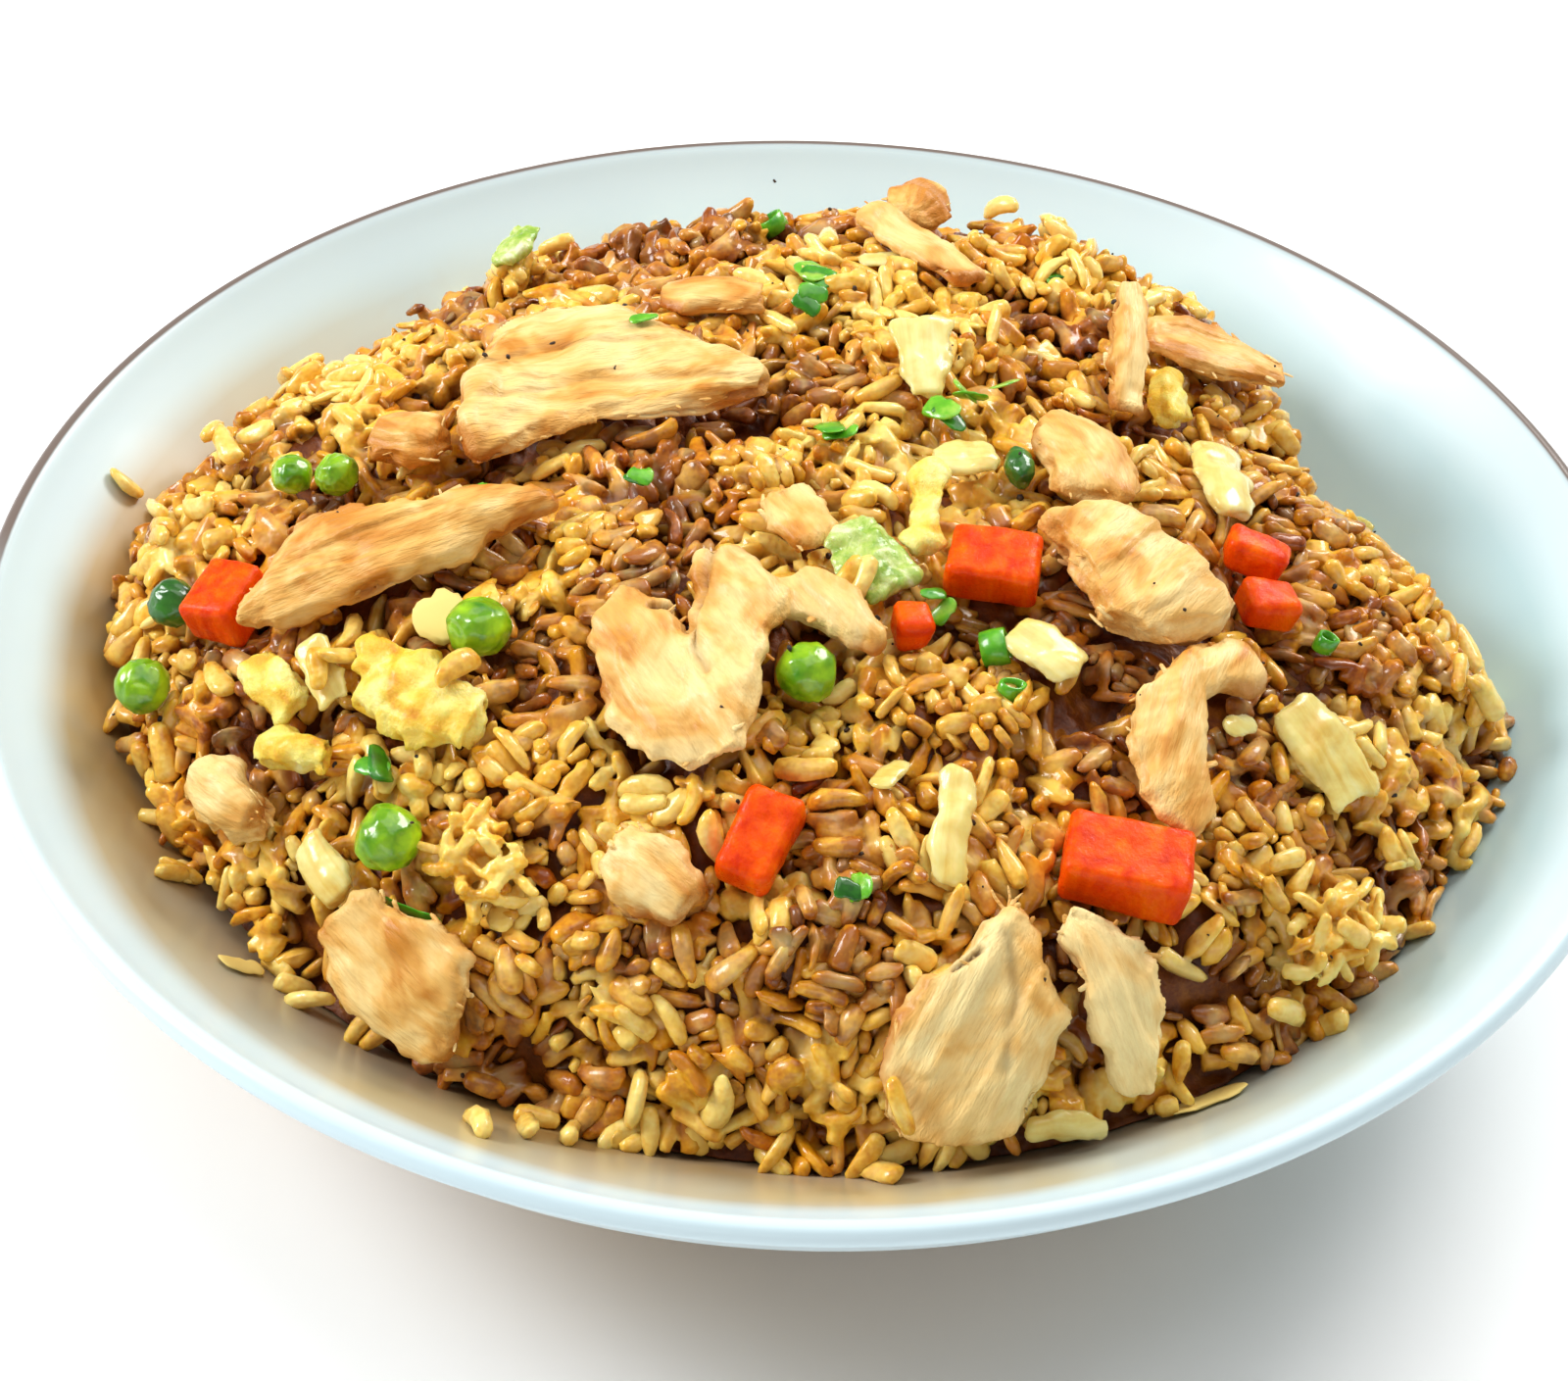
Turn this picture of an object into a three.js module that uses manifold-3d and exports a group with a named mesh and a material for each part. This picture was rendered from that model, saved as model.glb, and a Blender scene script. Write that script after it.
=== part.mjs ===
// A shallow white coupe bowl heaped with fried rice: chicken, scrambled egg, peas, diced carrot, onion
// and cabbage, and chopped green onion. Millimetres, +Z up, origin at the middle of the foot ring.
// The side that faces the eater is -Y.
import * as THREE from "three";
import { ConvexHull } from "three/addons/math/ConvexHull.js";
import { mergeVertices } from "three/addons/utils/BufferGeometryUtils.js";
import Module from "manifold-3d";

const wasm = await Module();
wasm.setup();

// Dish
const RIM_RADIUS = 110;
const RIM_HEIGHT = 44;
const WALL_TOP_RADIUS = 108.4;
const FLOOR_RADIUS = 45;
const WELL_DEPTH = 38;
const WALL_CURVE = 1.6;
const WALL_THICK = 4.6;
const LIP_RADIUS = 1.6;
const FOOT_OUTER = 46.5;
const FOOT_INNER = 40;
const FOOT_RECESS = 1.8;
const DISH_SEGMENTS = 64;

// Heap of rice
const CROWN = 20;
const DOME_POWER = 2.6;
const DOME_ROUNDNESS = 0.6;
const STEEP_SIDE = { azimuth: 48, width: 30, change: 0.14 };
const WALL_GAP = 0.55;
const CLEARANCE = 0.35;
const EDGE_POINTS = 128;
const CLUMPS = 60;
const CLUMP_HEIGHT = 1.5;
const GRAIN_LENGTH = 6.8;
const GRAIN_WIDTH = 2.8;
const GRAIN_PROFILE = [[0, -1], [0.8, -0.6], [1, 0], [0.75, 0.62], [0, 1]];
const GRAIN_SIDES = 5;
const GRAIN_BUMPS = 420;
const BUMP_HEIGHT = 1.9;
const VALLEY_DEPTH = 1.3;
const BUMP_REACH = 2.3;
const BUMP_SPACING = 3.1;
const VALLEY_SPACING = 2.9;
const VALLEY_TRIES = 14000;
const TOPPING_MARGIN = 1.6;
const LOOSE_GRAINS = 62;
const SCATTER_RADIUS = 95;
const SCATTER_TRIES = 60000;
const EDGE_ROOM = 3;
const LEAST_DEPTH = 1.2;
const COVER_GAP = 0.3;
const NOD = 0.12;

// How the rice is lowered under a topping that still touches it
const CLEARING_ROUNDS = 24;
const CLEARING_REACH = 2;
const CLEARING_GROWTH = 0.15;
const CLEARING_STEP = 0.8;
const CLEARING_BELOW = 1.5;

// How far the rice reaches along the wall, as azimuth (0 is +X, 90 is the far side) and radius.
const HEAP_EDGE = [
  [-180, 95], [-165, 93], [-147, 88], [-131, 87], [-111, 84], [-90, 85], [-75, 87], [-59, 89],
  [-31, 89], [-18, 92.5], [-9, 94], [-1, 91], [8, 85], [20, 80], [35, 84], [47, 89], [60, 91],
  [105, 91], [140, 90], [152, 92], [165, 95], [180, 95],
];

// Hills on the dome: x, y, height, reach.
const HILLS = [
  [-22, 67, 6, 10], [12, 70, 4, 9], [28, 66, 4, 9], [-4, 62, 3, 12], [-46, 44, 2, 12],
  [40, 62, 3, 9], [58, 50, 4, 9], [68, 36, 4, 8], [66, 16, 3, 10], [-84, 14, 4, 8],
];

// Broad slices, as stations along each: the far and near points of its outline in plan. rise is how
// high the underside of its far and near side stands off the rice.
const OUTLINED = [
  { name: "chicken_broad_slice", thick: 5, rise: [3.5, 0],
    sides: [[-46, 3, -43, -4], [-46, 11, -40, -3], [-43, 22, -35, 1], [-37, 28, -29, 5], [-28, 27, -22, 5.5],
      [-19, 20.5, -16, 6], [-12, 16, -11, 8], [-7.5, 13.5, -7.5, 9.5]] },
  { name: "chicken_left_strip", thick: 5, rise: [3, 0.5],
    sides: [[-70, -22, -70, -24], [-67, -18, -65, -26], [-64, -12.5, -59, -25.5], [-56, -11.5, -53, -24],
      [-50, -13, -47, -21.5], [-44, -11.5, -42, -19.5], [-38, -11.5, -37, -16.5], [-33, -12, -32, -14.5]] },
  { name: "chicken_middle_flap", thick: 4, rise: [1.5, 1.5],
    sides: [[-23, -27, -27, -34], [-17, -30, -26, -39.5], [-13, -37.5, -24, -46], [-9, -44, -20, -49.5],
      [-8, -50, -14, -53]],
    lobes: [
      { thick: 4.5, rise: [3, 2.2],
        sides: [[-9, -24, -14.5, -24.5], [-2, -31, -14, -31], [-5, -37, -15.5, -38], [-6, -44.5, -15, -45.5],
          [-7, -51, -10, -52]] },
      { thick: 4, rise: [2, 2],
        sides: [[-5, -27, -4, -32.5], [0, -27, 0, -35], [5, -30, 4, -36.5], [9, -35, 7.5, -37.5]] },
    ] },
  { name: "chicken_upper_right", thick: 5, rise: [1.5, 1.5],
    sides: [[31, 10, 27, 4], [37.5, 4, 28, -2], [40.5, -3, 29, -7], [40, -8.5, 33, -9]] },
  { name: "chicken_chunk", thick: 8, rise: [0, 0],
    sides: [[37, -11.5, 27.5, -14.5], [43.5, -13.5, 30, -20], [49, -18, 32, -26], [51, -22, 33.5, -29.5],
      [49.5, -26, 38.5, -30.5]] },
  { name: "chicken_front_flap", thick: 4.5, rise: [1, 0.5],
    sides: [[26.5, -66.5, 23, -66], [27.5, -69.5, 15.5, -72.5], [30, -74, 10.5, -76.5], [29.5, -78.5, 8.5, -79.5],
      [26.5, -81.5, 9, -82.5], [19.5, -83.5, 11.5, -84]] },
  { name: "chicken_lower_left", thick: 4.2, rise: [1.6, 1.6],
    sides: [[-50, -60, -55.5, -61.5], [-41.5, -64, -54, -65], [-37, -67.5, -50.5, -68.5],
      [-37.5, -70.5, -45.5, -71.5], [-39, -73, -42, -73.5]] },
];

// Strips and lumps: where the middle of each lies, which way it runs, how long it is in plan, half its
// width from end to end, how far it bends on the way, its thickness, how high its two ends stand off
// the rice, and how far it leans over sideways.
const STRIPS = [
  { name: "chicken_hook", at: [42.2, -39.5], turn: -106, bend: 122, length: 29.5, thick: 4,
    half: [2.6, 3.4, 3.4, 5, 5.8, 5, 3], rise: [1.5, 1] },
  { name: "chicken_front_curl", at: [36, -70.3], turn: -48, bend: -90, length: 15.5, thick: 4,
    half: [2.6, 3.4, 4.2, 4.2, 3.8, 2.6], rise: [2, 0.5] },
  { name: "chicken_far_strip", at: [12.5, 52], turn: -50, length: 22, thick: 3.2,
    half: [2.6, 3.4, 3.6, 2.6], rise: [2, 1] },
  { name: "chicken_far_knob", at: [12.8, 67.4], turn: 70, length: 10, thick: 7,
    half: [3.2, 4.2, 3.8, 2.6], rise: [-1.5, -1.5] },
  { name: "chicken_standing_strip", at: [39, 25.5], turn: -86, length: 20, thick: 3.6,
    half: [2, 2.8, 3.2, 2.4], rise: [8, 1.5] },
  { name: "chicken_wedge", at: [52.6, 36], turn: -4, length: 17, thick: 4,
    half: [4, 5.4, 6.2, 4.6, 3], rise: [1, 4] },
  { name: "chicken_left_lump", at: [-69.6, -43.2], turn: -43, length: 12, thick: 6.5,
    half: [3, 4.2, 4.2, 3], rise: [-1, -1] },
  { name: "chicken_front_lump", at: [-17.4, -63], turn: -35, length: 11, thick: 5.5,
    half: [3.4, 4.8, 4.6, 3.2], rise: [-0.5, -0.5] },
  { name: "chicken_brown_lump", at: [-53, 2.6], turn: -22, length: 9, thick: 6,
    half: [3.2, 4.4, 4.2, 3], rise: [-0.5, -0.5] },
  { name: "chicken_crown_bit", at: [-2.4, -14.4], turn: -62, length: 9, thick: 4,
    half: [3.4, 4, 3], rise: [0, 0] },
  { name: "chicken_behind_slice", at: [-15.4, 36.4], turn: -6, length: 14, thick: 4,
    half: [3.4, 4.6, 4.4, 3], rise: [0, 0] },
  { name: "egg_large", at: [-46, -39.9], turn: -34, length: 17, thick: 6, lumpy: 0.14,
    half: [3.8, 5.2, 5.4, 4], rise: [-0.5, -0.5],
    lobes: [
      { at: [-50, -34.4], turn: -15, length: 8, thick: 4, lumpy: 0.1, half: [2, 2.8, 2], rise: [1.5, 0.5] },
    ] },
  { name: "egg_left", at: [-65.4, -32.6], turn: -55, length: 9.5, thick: 5, lumpy: 0.14,
    half: [3, 3.8, 3], rise: [-0.5, -0.5] },
  { name: "egg_lower", at: [-61.8, -41.4], turn: -24, length: 10.5, thick: 4.5, lumpy: 0.14,
    half: [2.2, 3, 2.4], rise: [0, 0] },
  { name: "egg_curl", at: [13.3, -12.9], turn: -92, length: 14, thick: 3.4, lumpy: 0.1,
    half: [2, 2.5, 2.6, 2.2], rise: [1.5, 1] },
  { name: "egg_far_right", at: [46.6, 22.5], turn: -90, length: 10, thick: 3.6, lumpy: 0.1,
    half: [2, 2.4, 2], rise: [1, 0.5] },
  { name: "egg_pale", at: [-37.8, -59.4], turn: -48, length: 11, thick: 5, lumpy: 0.16,
    half: [4, 5.2, 4.4], rise: [-0.5, -0.5] },
  { name: "onion_browned", at: [-58.7, -33.8], turn: -62, length: 9, thick: 2.4,
    half: [2.2, 2.6, 2.2], rise: [2.4, 1.9] },
  { name: "onion_fan", at: [13.2, 17.5], turn: -83, length: 11, thick: 2.2,
    half: [4.8, 4, 2], rise: [5.5, 1] },
  { name: "cabbage_crinkled", at: [6.6, -21.8], turn: -50, length: 11, thick: 3, lumpy: 0.2,
    half: [3.4, 4.6, 3.6], rise: [1.5, 0.5] },
  { name: "cabbage_far", at: [-43, 50.4], turn: 60, length: 7, thick: 2.2,
    half: [2.2, 3, 2.4], rise: [3, 6] },
  { name: "onion_upper", at: [18.4, -1.4], turn: 12, length: 8, thick: 3,
    half: [3, 4, 3.2], rise: [0.5, 0.5] },
  { name: "onion_right", at: [52.3, 4], turn: -83, length: 15, thick: 3,
    half: [3, 4, 3], rise: [1, 0] },
  { name: "onion_middle", at: [27.8, -33.6], turn: -34, length: 9, thick: 2.6,
    half: [3, 3.8, 3.2], rise: [0.5, 0.5] },
  { name: "onion_strip", at: [17, -57.6], turn: -95, length: 12, thick: 2.6,
    half: [2, 2.3, 1.9], rise: [0.5, 0.5] },
  { name: "onion_flat", at: [62.6, -36.2], turn: -45, length: 11.5, thick: 2.8,
    half: [3.8, 5, 4.2], rise: [0.5, 0.5] },
  { name: "onion_left", at: [-56.8, -55.4], turn: -53, length: 9, thick: 3.4,
    half: [2.6, 3.2, 2.6], rise: [0, 0] },
  { name: "onion_clump", at: [64, -55.6], turn: 38, length: 16, thick: 4.4, lumpy: 0.16,
    half: [4, 5.4, 5.2, 4], rise: [-0.5, -0.5] },
  { name: "onion_front", at: [31.6, -81], turn: 12, length: 9.5, thick: 2.4,
    half: [1.6, 2, 1.6], rise: [0, 0] },
];

// Peas: x, y, radius, how far each is sunk into the rice.
const PEAS = [
  { name: "pea_upper", at: [-40.2, -32.2], radius: 4.3, sunk: 1.2 },
  { name: "pea_lower", at: [-48.5, -56], radius: 4.5, sunk: 1.2 },
  { name: "pea_edge", at: [-83.6, -24.8], radius: 3.9, sunk: 1 },
  { name: "pea_middle", at: [-0.4, -39.8], radius: 4.1, sunk: 2.2 },
  { name: "pea_far", at: [-62.5, 0.2], radius: 3.2, sunk: 2 },
  { name: "pea_far_left", at: [-68.8, 2.6], radius: 3, sunk: 1.8 },
  { name: "pea_dark", at: [-82, -14], radius: 3.6, sunk: 2 },
];

// A pea squashed and creased by the pan.
const SPLIT_PEA = { name: "pea_crumpled", at: [25.5, -2.4], radii: [2.1, 4, 2.6], turn: 12, sunk: 0.4 };

// Carrot dice: where, length, width, height, how each is turned and how far it is sunk.
const CARROTS = [
  { name: "carrot_left", at: [-74.8, -17], size: [8.5, 9.5, 6.5], turn: -24, sunk: 2.6 },
  { name: "carrot_crown", at: [22, -20.8], size: [11, 8, 6.5], turn: -8, sunk: 1.6 },
  { name: "carrot_slanted", at: [-5, -60.2], size: [7, 11.5, 5.5], turn: -25, sunk: 1.4 },
  { name: "carrot_big", at: [37.2, -59.8], size: [15, 9.4, 7], turn: -9, sunk: 1.4 },
  { name: "carrot_right_upper", at: [56, -9.6], size: [8, 5, 4.6], turn: -12, sunk: 2 },
  { name: "carrot_right_lower", at: [57, -18], size: [7, 5.5, 4.6], turn: 10, sunk: 1.8 },
  { name: "carrot_dark", at: [12, -31], size: [4.4, 5, 4.6], turn: 14, sunk: 1.6 },
];

// Chopped green onion, fused to the rice: x, y, size.
const GREENS = [
  [22.4, -33, 5], [2.2, 3, 4.6], [50, 13, 5], [-2, 41.5, 5], [-1.6, 33.5, 4.6], [24, -40, 3.6],
  [16, 8.4, 4], [19, 11.6, 4.4], [-52, -47, 4.6], [-42, -9, 3.2], [64, -22, 3.4], [6.4, -66.5, 3.6],
  [-22.5, -7, 3.6], [15.5, -26.8, 3.4], [-8, 66, 4], [34, 52, 4], [-36, 66, 4],
];

const SEEDS = { heap: 21, slice: 100, pea: 500, splitPea: 560, carrot: 600, green: 700, grain: 900 };

const COLOURS = {
  dish: [0xf1f2f0, 0.12],
  rice: [0xc79a55, 0.55],
  chicken: [0xd9ac74, 0.6],
  egg: [0xf0cf63, 0.6],
  onion: [0xdccb8a, 0.4],
  cabbage: [0xb9c76a, 0.45],
  pea: [0x4f9a26, 0.35],
  carrot: [0xe5521a, 0.4],
};

const radians = THREE.MathUtils.degToRad;

function randomFrom(seed) {
  let state = seed;
  return () => {
    state = (state + 0x6d2b79f5) | 0;
    let t = Math.imul(state ^ (state >>> 15), 1 | state);
    t = (t + Math.imul(t ^ (t >>> 7), 61 | t)) ^ t;
    return ((t ^ (t >>> 14)) >>> 0) / 4294967296;
  };
}

function jitter(random, amount) {
  return (random() * 2 - 1) * amount;
}

function geometryOf(positions, triangles) {
  const geometry = new THREE.BufferGeometry();
  geometry.setAttribute("position", new THREE.Float32BufferAttribute(positions, 3));
  geometry.setIndex(triangles);
  return geometry;
}

function solidOf(geometry) {
  const bare = new THREE.BufferGeometry();
  bare.setAttribute("position", geometry.getAttribute("position"));
  bare.setIndex(geometry.index);
  const merged = mergeVertices(bare, 1e-3);
  return new wasm.Manifold(
    new wasm.Mesh({
      numProp: 3,
      vertProperties: new Float32Array(merged.attributes.position.array),
      triVerts: new Uint32Array(merged.index.array),
    }),
  );
}

function geometryFrom(solid) {
  const mesh = solid.getMesh();
  return geometryOf(Array.from(mesh.vertProperties), Array.from(mesh.triVerts));
}

function largestBody(solid) {
  return solid.decompose().reduce((best, body) => (body.volume() > best.volume() ? body : best));
}

// The dish's inner face: flat in the middle, then a wall that steepens towards the rim.
function wallHeight(radius) {
  const t = THREE.MathUtils.clamp((radius - FLOOR_RADIUS) / (WALL_TOP_RADIUS - FLOOR_RADIUS), 0, 1);
  return RIM_HEIGHT - WELL_DEPTH * (1 - t ** WALL_CURVE);
}

function dishGeometry() {
  const profile = [new THREE.Vector2(0, FOOT_RECESS), new THREE.Vector2(FOOT_INNER - 1, FOOT_RECESS)];
  profile.push(new THREE.Vector2(FOOT_INNER, 0), new THREE.Vector2(FOOT_OUTER, 0));
  for (const radius of [52, 62, 72, 82, 92, 101]) {
    const slope = wallHeight(radius + 0.5) - wallHeight(radius - 0.5);
    profile.push(new THREE.Vector2(radius, wallHeight(radius) - WALL_THICK * Math.hypot(1, slope)));
  }
  for (const angle of [-40, 0, 45, 90]) {
    const out = RIM_RADIUS - LIP_RADIUS + LIP_RADIUS * Math.cos(radians(angle));
    profile.push(new THREE.Vector2(out, RIM_HEIGHT - LIP_RADIUS + LIP_RADIUS * Math.sin(radians(angle))));
  }
  for (const radius of [105, 100, 94, 87, 79, 70, 60, 52, FLOOR_RADIUS]) {
    profile.push(new THREE.Vector2(radius, wallHeight(radius)));
  }
  profile.push(new THREE.Vector2(0, RIM_HEIGHT - WELL_DEPTH));
  return new THREE.LatheGeometry(profile, DISH_SEGMENTS).rotateX(Math.PI / 2);
}

function heapEdge(azimuth) {
  const last = HEAP_EDGE.findIndex(([angle]) => angle >= azimuth);
  const [a1, r1] = HEAP_EDGE[Math.max(last, 1)];
  const [a0, r0] = HEAP_EDGE[Math.max(last, 1) - 1];
  return r0 + ((r1 - r0) * (azimuth - a0)) / (a1 - a0);
}

function azimuthOf(x, y) {
  return THREE.MathUtils.radToDeg(Math.atan2(y, x));
}

function hill([x0, y0, height, reach], x, y) {
  return height * Math.exp(-((x - x0) ** 2 + (y - y0) ** 2) / reach ** 2);
}

// The smooth top of the heap, which the toppings lie on.
function heapHeight(x, y) {
  const azimuth = azimuthOf(x, y);
  const edge = heapEdge(azimuth);
  const rho = Math.min(Math.hypot(x, y) / edge, 1);
  const low = wallHeight(edge);
  const side = Math.exp(-(((azimuth - STEEP_SIDE.azimuth) / STEEP_SIDE.width) ** 2));
  const power = DOME_ROUNDNESS - STEEP_SIDE.change * side;
  const dome = low + (RIM_HEIGHT + CROWN - low) * (1 - rho ** DOME_POWER) ** power;
  const hills = HILLS.reduce((sum, each) => sum + hill(each, x, y), 0);
  return dome + hills * THREE.MathUtils.clamp((1 - rho) / 0.08, 0, 1);
}

function heapNormal(x, y) {
  const step = 2.5;
  const dx = (heapHeight(x + step, y) - heapHeight(x - step, y)) / (2 * step);
  const dy = (heapHeight(x, y + step) - heapHeight(x, y - step)) / (2 * step);
  return new THREE.Vector3(-dx, -dy, 1).normalize();
}

// Shape of a slice: how uneven it is, and how its two ends close.
const LUMPY = 0.07;
const END_THINNING = 0.75;
const END_BULGE = 0.22;

// Round sections of a slice: across from -1 to 1, and up from -1 to 1.
const SECTION = [
  [-1, -0.1], [-0.8, 0.7], [-0.28, 1], [0.34, 0.96], [0.84, 0.66], [1, -0.15], [0.72, -0.9], [-0.7, -0.92],
];

// A point above the smooth rice, lift along the rice's normal.
function overRice(x, y, lift) {
  return new THREE.Vector3(x, y, heapHeight(x, y)).addScaledVector(heapNormal(x, y), lift);
}

// The stations of a strip along its bent middle line.
function stripStations(strip) {
  const count = strip.half.length;
  const bend = strip.bend ?? 0;
  const step = strip.length / (count - 1);
  const points = [new THREE.Vector2(0, 0)];
  for (let i = 1; i < count; i++) {
    const heading = radians(strip.turn - bend / 2 + (bend * (i - 0.5)) / (count - 1));
    const next = new THREE.Vector2(Math.cos(heading), Math.sin(heading)).multiplyScalar(step);
    points.push(points[i - 1].clone().add(next));
  }
  const middle = (count - 1) / 2;
  const centre = points[Math.floor(middle)].clone().lerp(points[Math.ceil(middle)], 0.5);
  const shift = new THREE.Vector2(...strip.at).sub(centre);
  const spine = points.map((point, i) => {
    const { x, y } = point.add(shift);
    const rise = THREE.MathUtils.lerp(strip.rise[0], strip.rise[1], i / (count - 1));
    return { centre: overRice(x, y, rise + strip.thick / 2), normal: heapNormal(x, y) };
  });
  return spine.map(({ centre, normal }, i) => {
    const along = spine[Math.min(i + 1, count - 1)].centre.clone();
    along.sub(spine[Math.max(i - 1, 0)].centre).normalize();
    const across = normal.clone().cross(along).normalize();
    across.applyAxisAngle(along, radians(strip.lean ?? 0));
    return { centre, across, half: strip.half[i] };
  });
}

// The stations of an outlined slice, each midway between its far and its near point.
function outlineStations(slice) {
  return slice.sides.map(([farX, farY, nearX, nearY]) => {
    const far = overRice(farX, farY, slice.rise[0] + slice.thick / 2);
    const near = overRice(nearX, nearY, slice.rise[1] + slice.thick / 2);
    const half = far.distanceTo(near) / 2;
    return { centre: far.clone().lerp(near, 0.5), across: far.sub(near).normalize(), half };
  });
}

// A slice lofted through its stations, closed by a low point at each end.
function sliceGeometry(slice, seed, grow = 0) {
  const random = randomFrom(seed);
  const stations = slice.sides ? outlineStations(slice) : stripStations(slice);
  const last = stations.length - 1;
  const lumpy = slice.lumpy ?? LUMPY;
  const positions = [];
  const triangles = [];
  const ends = [];
  stations.forEach(({ centre, across, half }, i) => {
    const ahead = stations[Math.min(i + 1, last)].centre;
    const along = ahead.clone().sub(stations[Math.max(i - 1, 0)].centre).normalize();
    const up = along.clone().cross(across).normalize();
    const isEnd = i === 0 || i === last;
    const halfThick = (slice.thick / 2) * (isEnd ? END_THINNING : 1) + grow;
    for (const [a, b] of SECTION) {
      const out = (half + grow) * a * (1 + jitter(random, lumpy));
      const high = halfThick * b * (1 + jitter(random, lumpy));
      const point = centre.clone().addScaledVector(across, -out).addScaledVector(up, high);
      positions.push(point.x, point.y, point.z);
    }
    if (isEnd) {
      const tip = (slice.thick * END_BULGE + grow) * (i === 0 ? -1 : 1);
      ends.push(centre.clone().addScaledVector(along, tip));
    }
  });
  const size = SECTION.length;
  for (let i = 0; i < last; i++) {
    for (let k = 0; k < size; k++) {
      const a = i * size + k;
      const b = i * size + ((k + 1) % size);
      triangles.push(a, b, a + size, b, b + size, a + size);
    }
  }
  ends.forEach((end) => positions.push(end.x, end.y, end.z));
  const first = stations.length * size;
  for (let k = 0; k < size; k++) {
    const next = (k + 1) % size;
    triangles.push(first, next, k);
    triangles.push(first + 1, last * size + k, last * size + next);
  }
  return geometryOf(positions, triangles);
}

function sliceSolid(slice, seed, grow = 0) {
  const lobes = (slice.lobes ?? []).map((lobe, i) => solidOf(sliceGeometry(lobe, seed + 50 + i, grow)));
  return lobes.reduce((whole, lobe) => whole.add(lobe), solidOf(sliceGeometry(slice, seed, grow)));
}

function settle(geometry, at, height, turn, seed) {
  const normal = heapNormal(...at);
  const level = new THREE.Vector3(0, 0, 1);
  const tilt = new THREE.Quaternion().setFromUnitVectors(level, normal.lerp(level, 0.35).normalize());
  const spin = new THREE.Quaternion().setFromAxisAngle(level, radians(turn));
  const place = new THREE.Vector3(at[0], at[1], heapHeight(...at)).addScaledVector(normal, height);
  const random = randomFrom(seed);
  const nod = new THREE.Euler(jitter(random, NOD), jitter(random, NOD), 0);
  const turned = tilt.multiply(spin).multiply(new THREE.Quaternion().setFromEuler(nod));
  return geometry.applyMatrix4(new THREE.Matrix4().compose(place, turned, new THREE.Vector3(1, 1, 1)));
}

function roughBall(radii, seed, dents, grow) {
  const loose = new THREE.IcosahedronGeometry(1, 1).deleteAttribute("normal").deleteAttribute("uv");
  const ball = mergeVertices(loose, 1e-4);
  const random = randomFrom(seed);
  const places = ball.attributes.position;
  const dimples = [direction(random), direction(random), direction(random)];
  for (let i = 0; i < places.count; i++) {
    const point = new THREE.Vector3().fromBufferAttribute(places, i);
    const near = Math.max(...dimples.map((dimple) => point.dot(dimple)));
    const scale = 1 - dents * THREE.MathUtils.smoothstep(near, 0.75, 1) + jitter(random, 0.015);
    places.setXYZ(
      i,
      point.x * (radii[0] * scale + grow),
      point.y * (radii[1] * scale + grow),
      point.z * (radii[2] * scale + grow),
    );
  }
  return ball;
}

function direction(random) {
  const z = random() * 2 - 1;
  const angle = random() * Math.PI * 2;
  const flat = Math.sqrt(1 - z * z);
  return new THREE.Vector3(flat * Math.cos(angle), flat * Math.sin(angle), z);
}

function peaSolid(pea, seed, grow = 0) {
  const ball = roughBall([pea.radius, pea.radius, pea.radius * 0.95], seed, 0.1, grow);
  return solidOf(settle(ball, pea.at, pea.radius - pea.sunk, 0, seed));
}

function splitPeaSolid(pea, seed, grow = 0) {
  const ball = roughBall(pea.radii, seed, 0.2, grow);
  return solidOf(settle(ball, pea.at, pea.radii[2] - pea.sunk, pea.turn, seed));
}

// A die with its corners and edges taken off: the hull of the corners' cut points.
function dieGeometry([length, width, height], bevel, seed, grow) {
  const random = randomFrom(seed);
  const points = [];
  for (const sx of [-1, 1]) {
    for (const sy of [-1, 1]) {
      for (const sz of [-1, 1]) {
        const x = (length / 2 + jitter(random, 0.35)) * sx;
        const y = (width / 2 + jitter(random, 0.35)) * sy;
        const z = (height / 2 + jitter(random, 0.25)) * sz;
        points.push(new THREE.Vector3(x + sx * grow, y - sy * bevel, z - sz * bevel));
        points.push(new THREE.Vector3(x - sx * bevel, y + sy * grow, z - sz * bevel));
        points.push(new THREE.Vector3(x - sx * bevel, y - sy * bevel, z + sz * grow));
      }
    }
  }
  return hullGeometry(points);
}

function hullGeometry(points) {
  const hull = new ConvexHull().setFromPoints(points);
  const positions = [];
  for (const face of hull.faces) {
    let edge = face.edge;
    do {
      const { x, y, z } = edge.head().point;
      positions.push(x, y, z);
      edge = edge.next;
    } while (edge !== face.edge);
  }
  const geometry = new THREE.BufferGeometry();
  geometry.setAttribute("position", new THREE.Float32BufferAttribute(positions, 3));
  return mergeVertices(geometry, 1e-4);
}

function carrotSolid(carrot, seed, grow = 0) {
  const die = dieGeometry(carrot.size, 0.7, seed, grow);
  return solidOf(settle(die, carrot.at, carrot.size[2] / 2 - carrot.sunk, carrot.turn, seed));
}

// Every topping as a solid, with a second one grown by the clearance that the rice keeps from it.
function makeToppings() {
  const made = [];
  const add = (kind, name, build) => {
    made.push({ kind, name, solid: build(0), room: build(CLEARANCE) });
  };
  [...OUTLINED, ...STRIPS].forEach((slice, i) => {
    add(slice.name.split("_")[0], slice.name, (grow) => sliceSolid(slice, SEEDS.slice + 7 * i, grow));
  });
  PEAS.forEach((pea, i) => add("pea", pea.name, (grow) => peaSolid(pea, SEEDS.pea + 3 * i, grow)));
  add("pea", SPLIT_PEA.name, (grow) => splitPeaSolid(SPLIT_PEA, SEEDS.splitPea, grow));
  CARROTS.forEach((carrot, i) => {
    add("carrot", carrot.name, (grow) => carrotSolid(carrot, SEEDS.carrot + 3 * i, grow));
  });
  return made;
}

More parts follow.
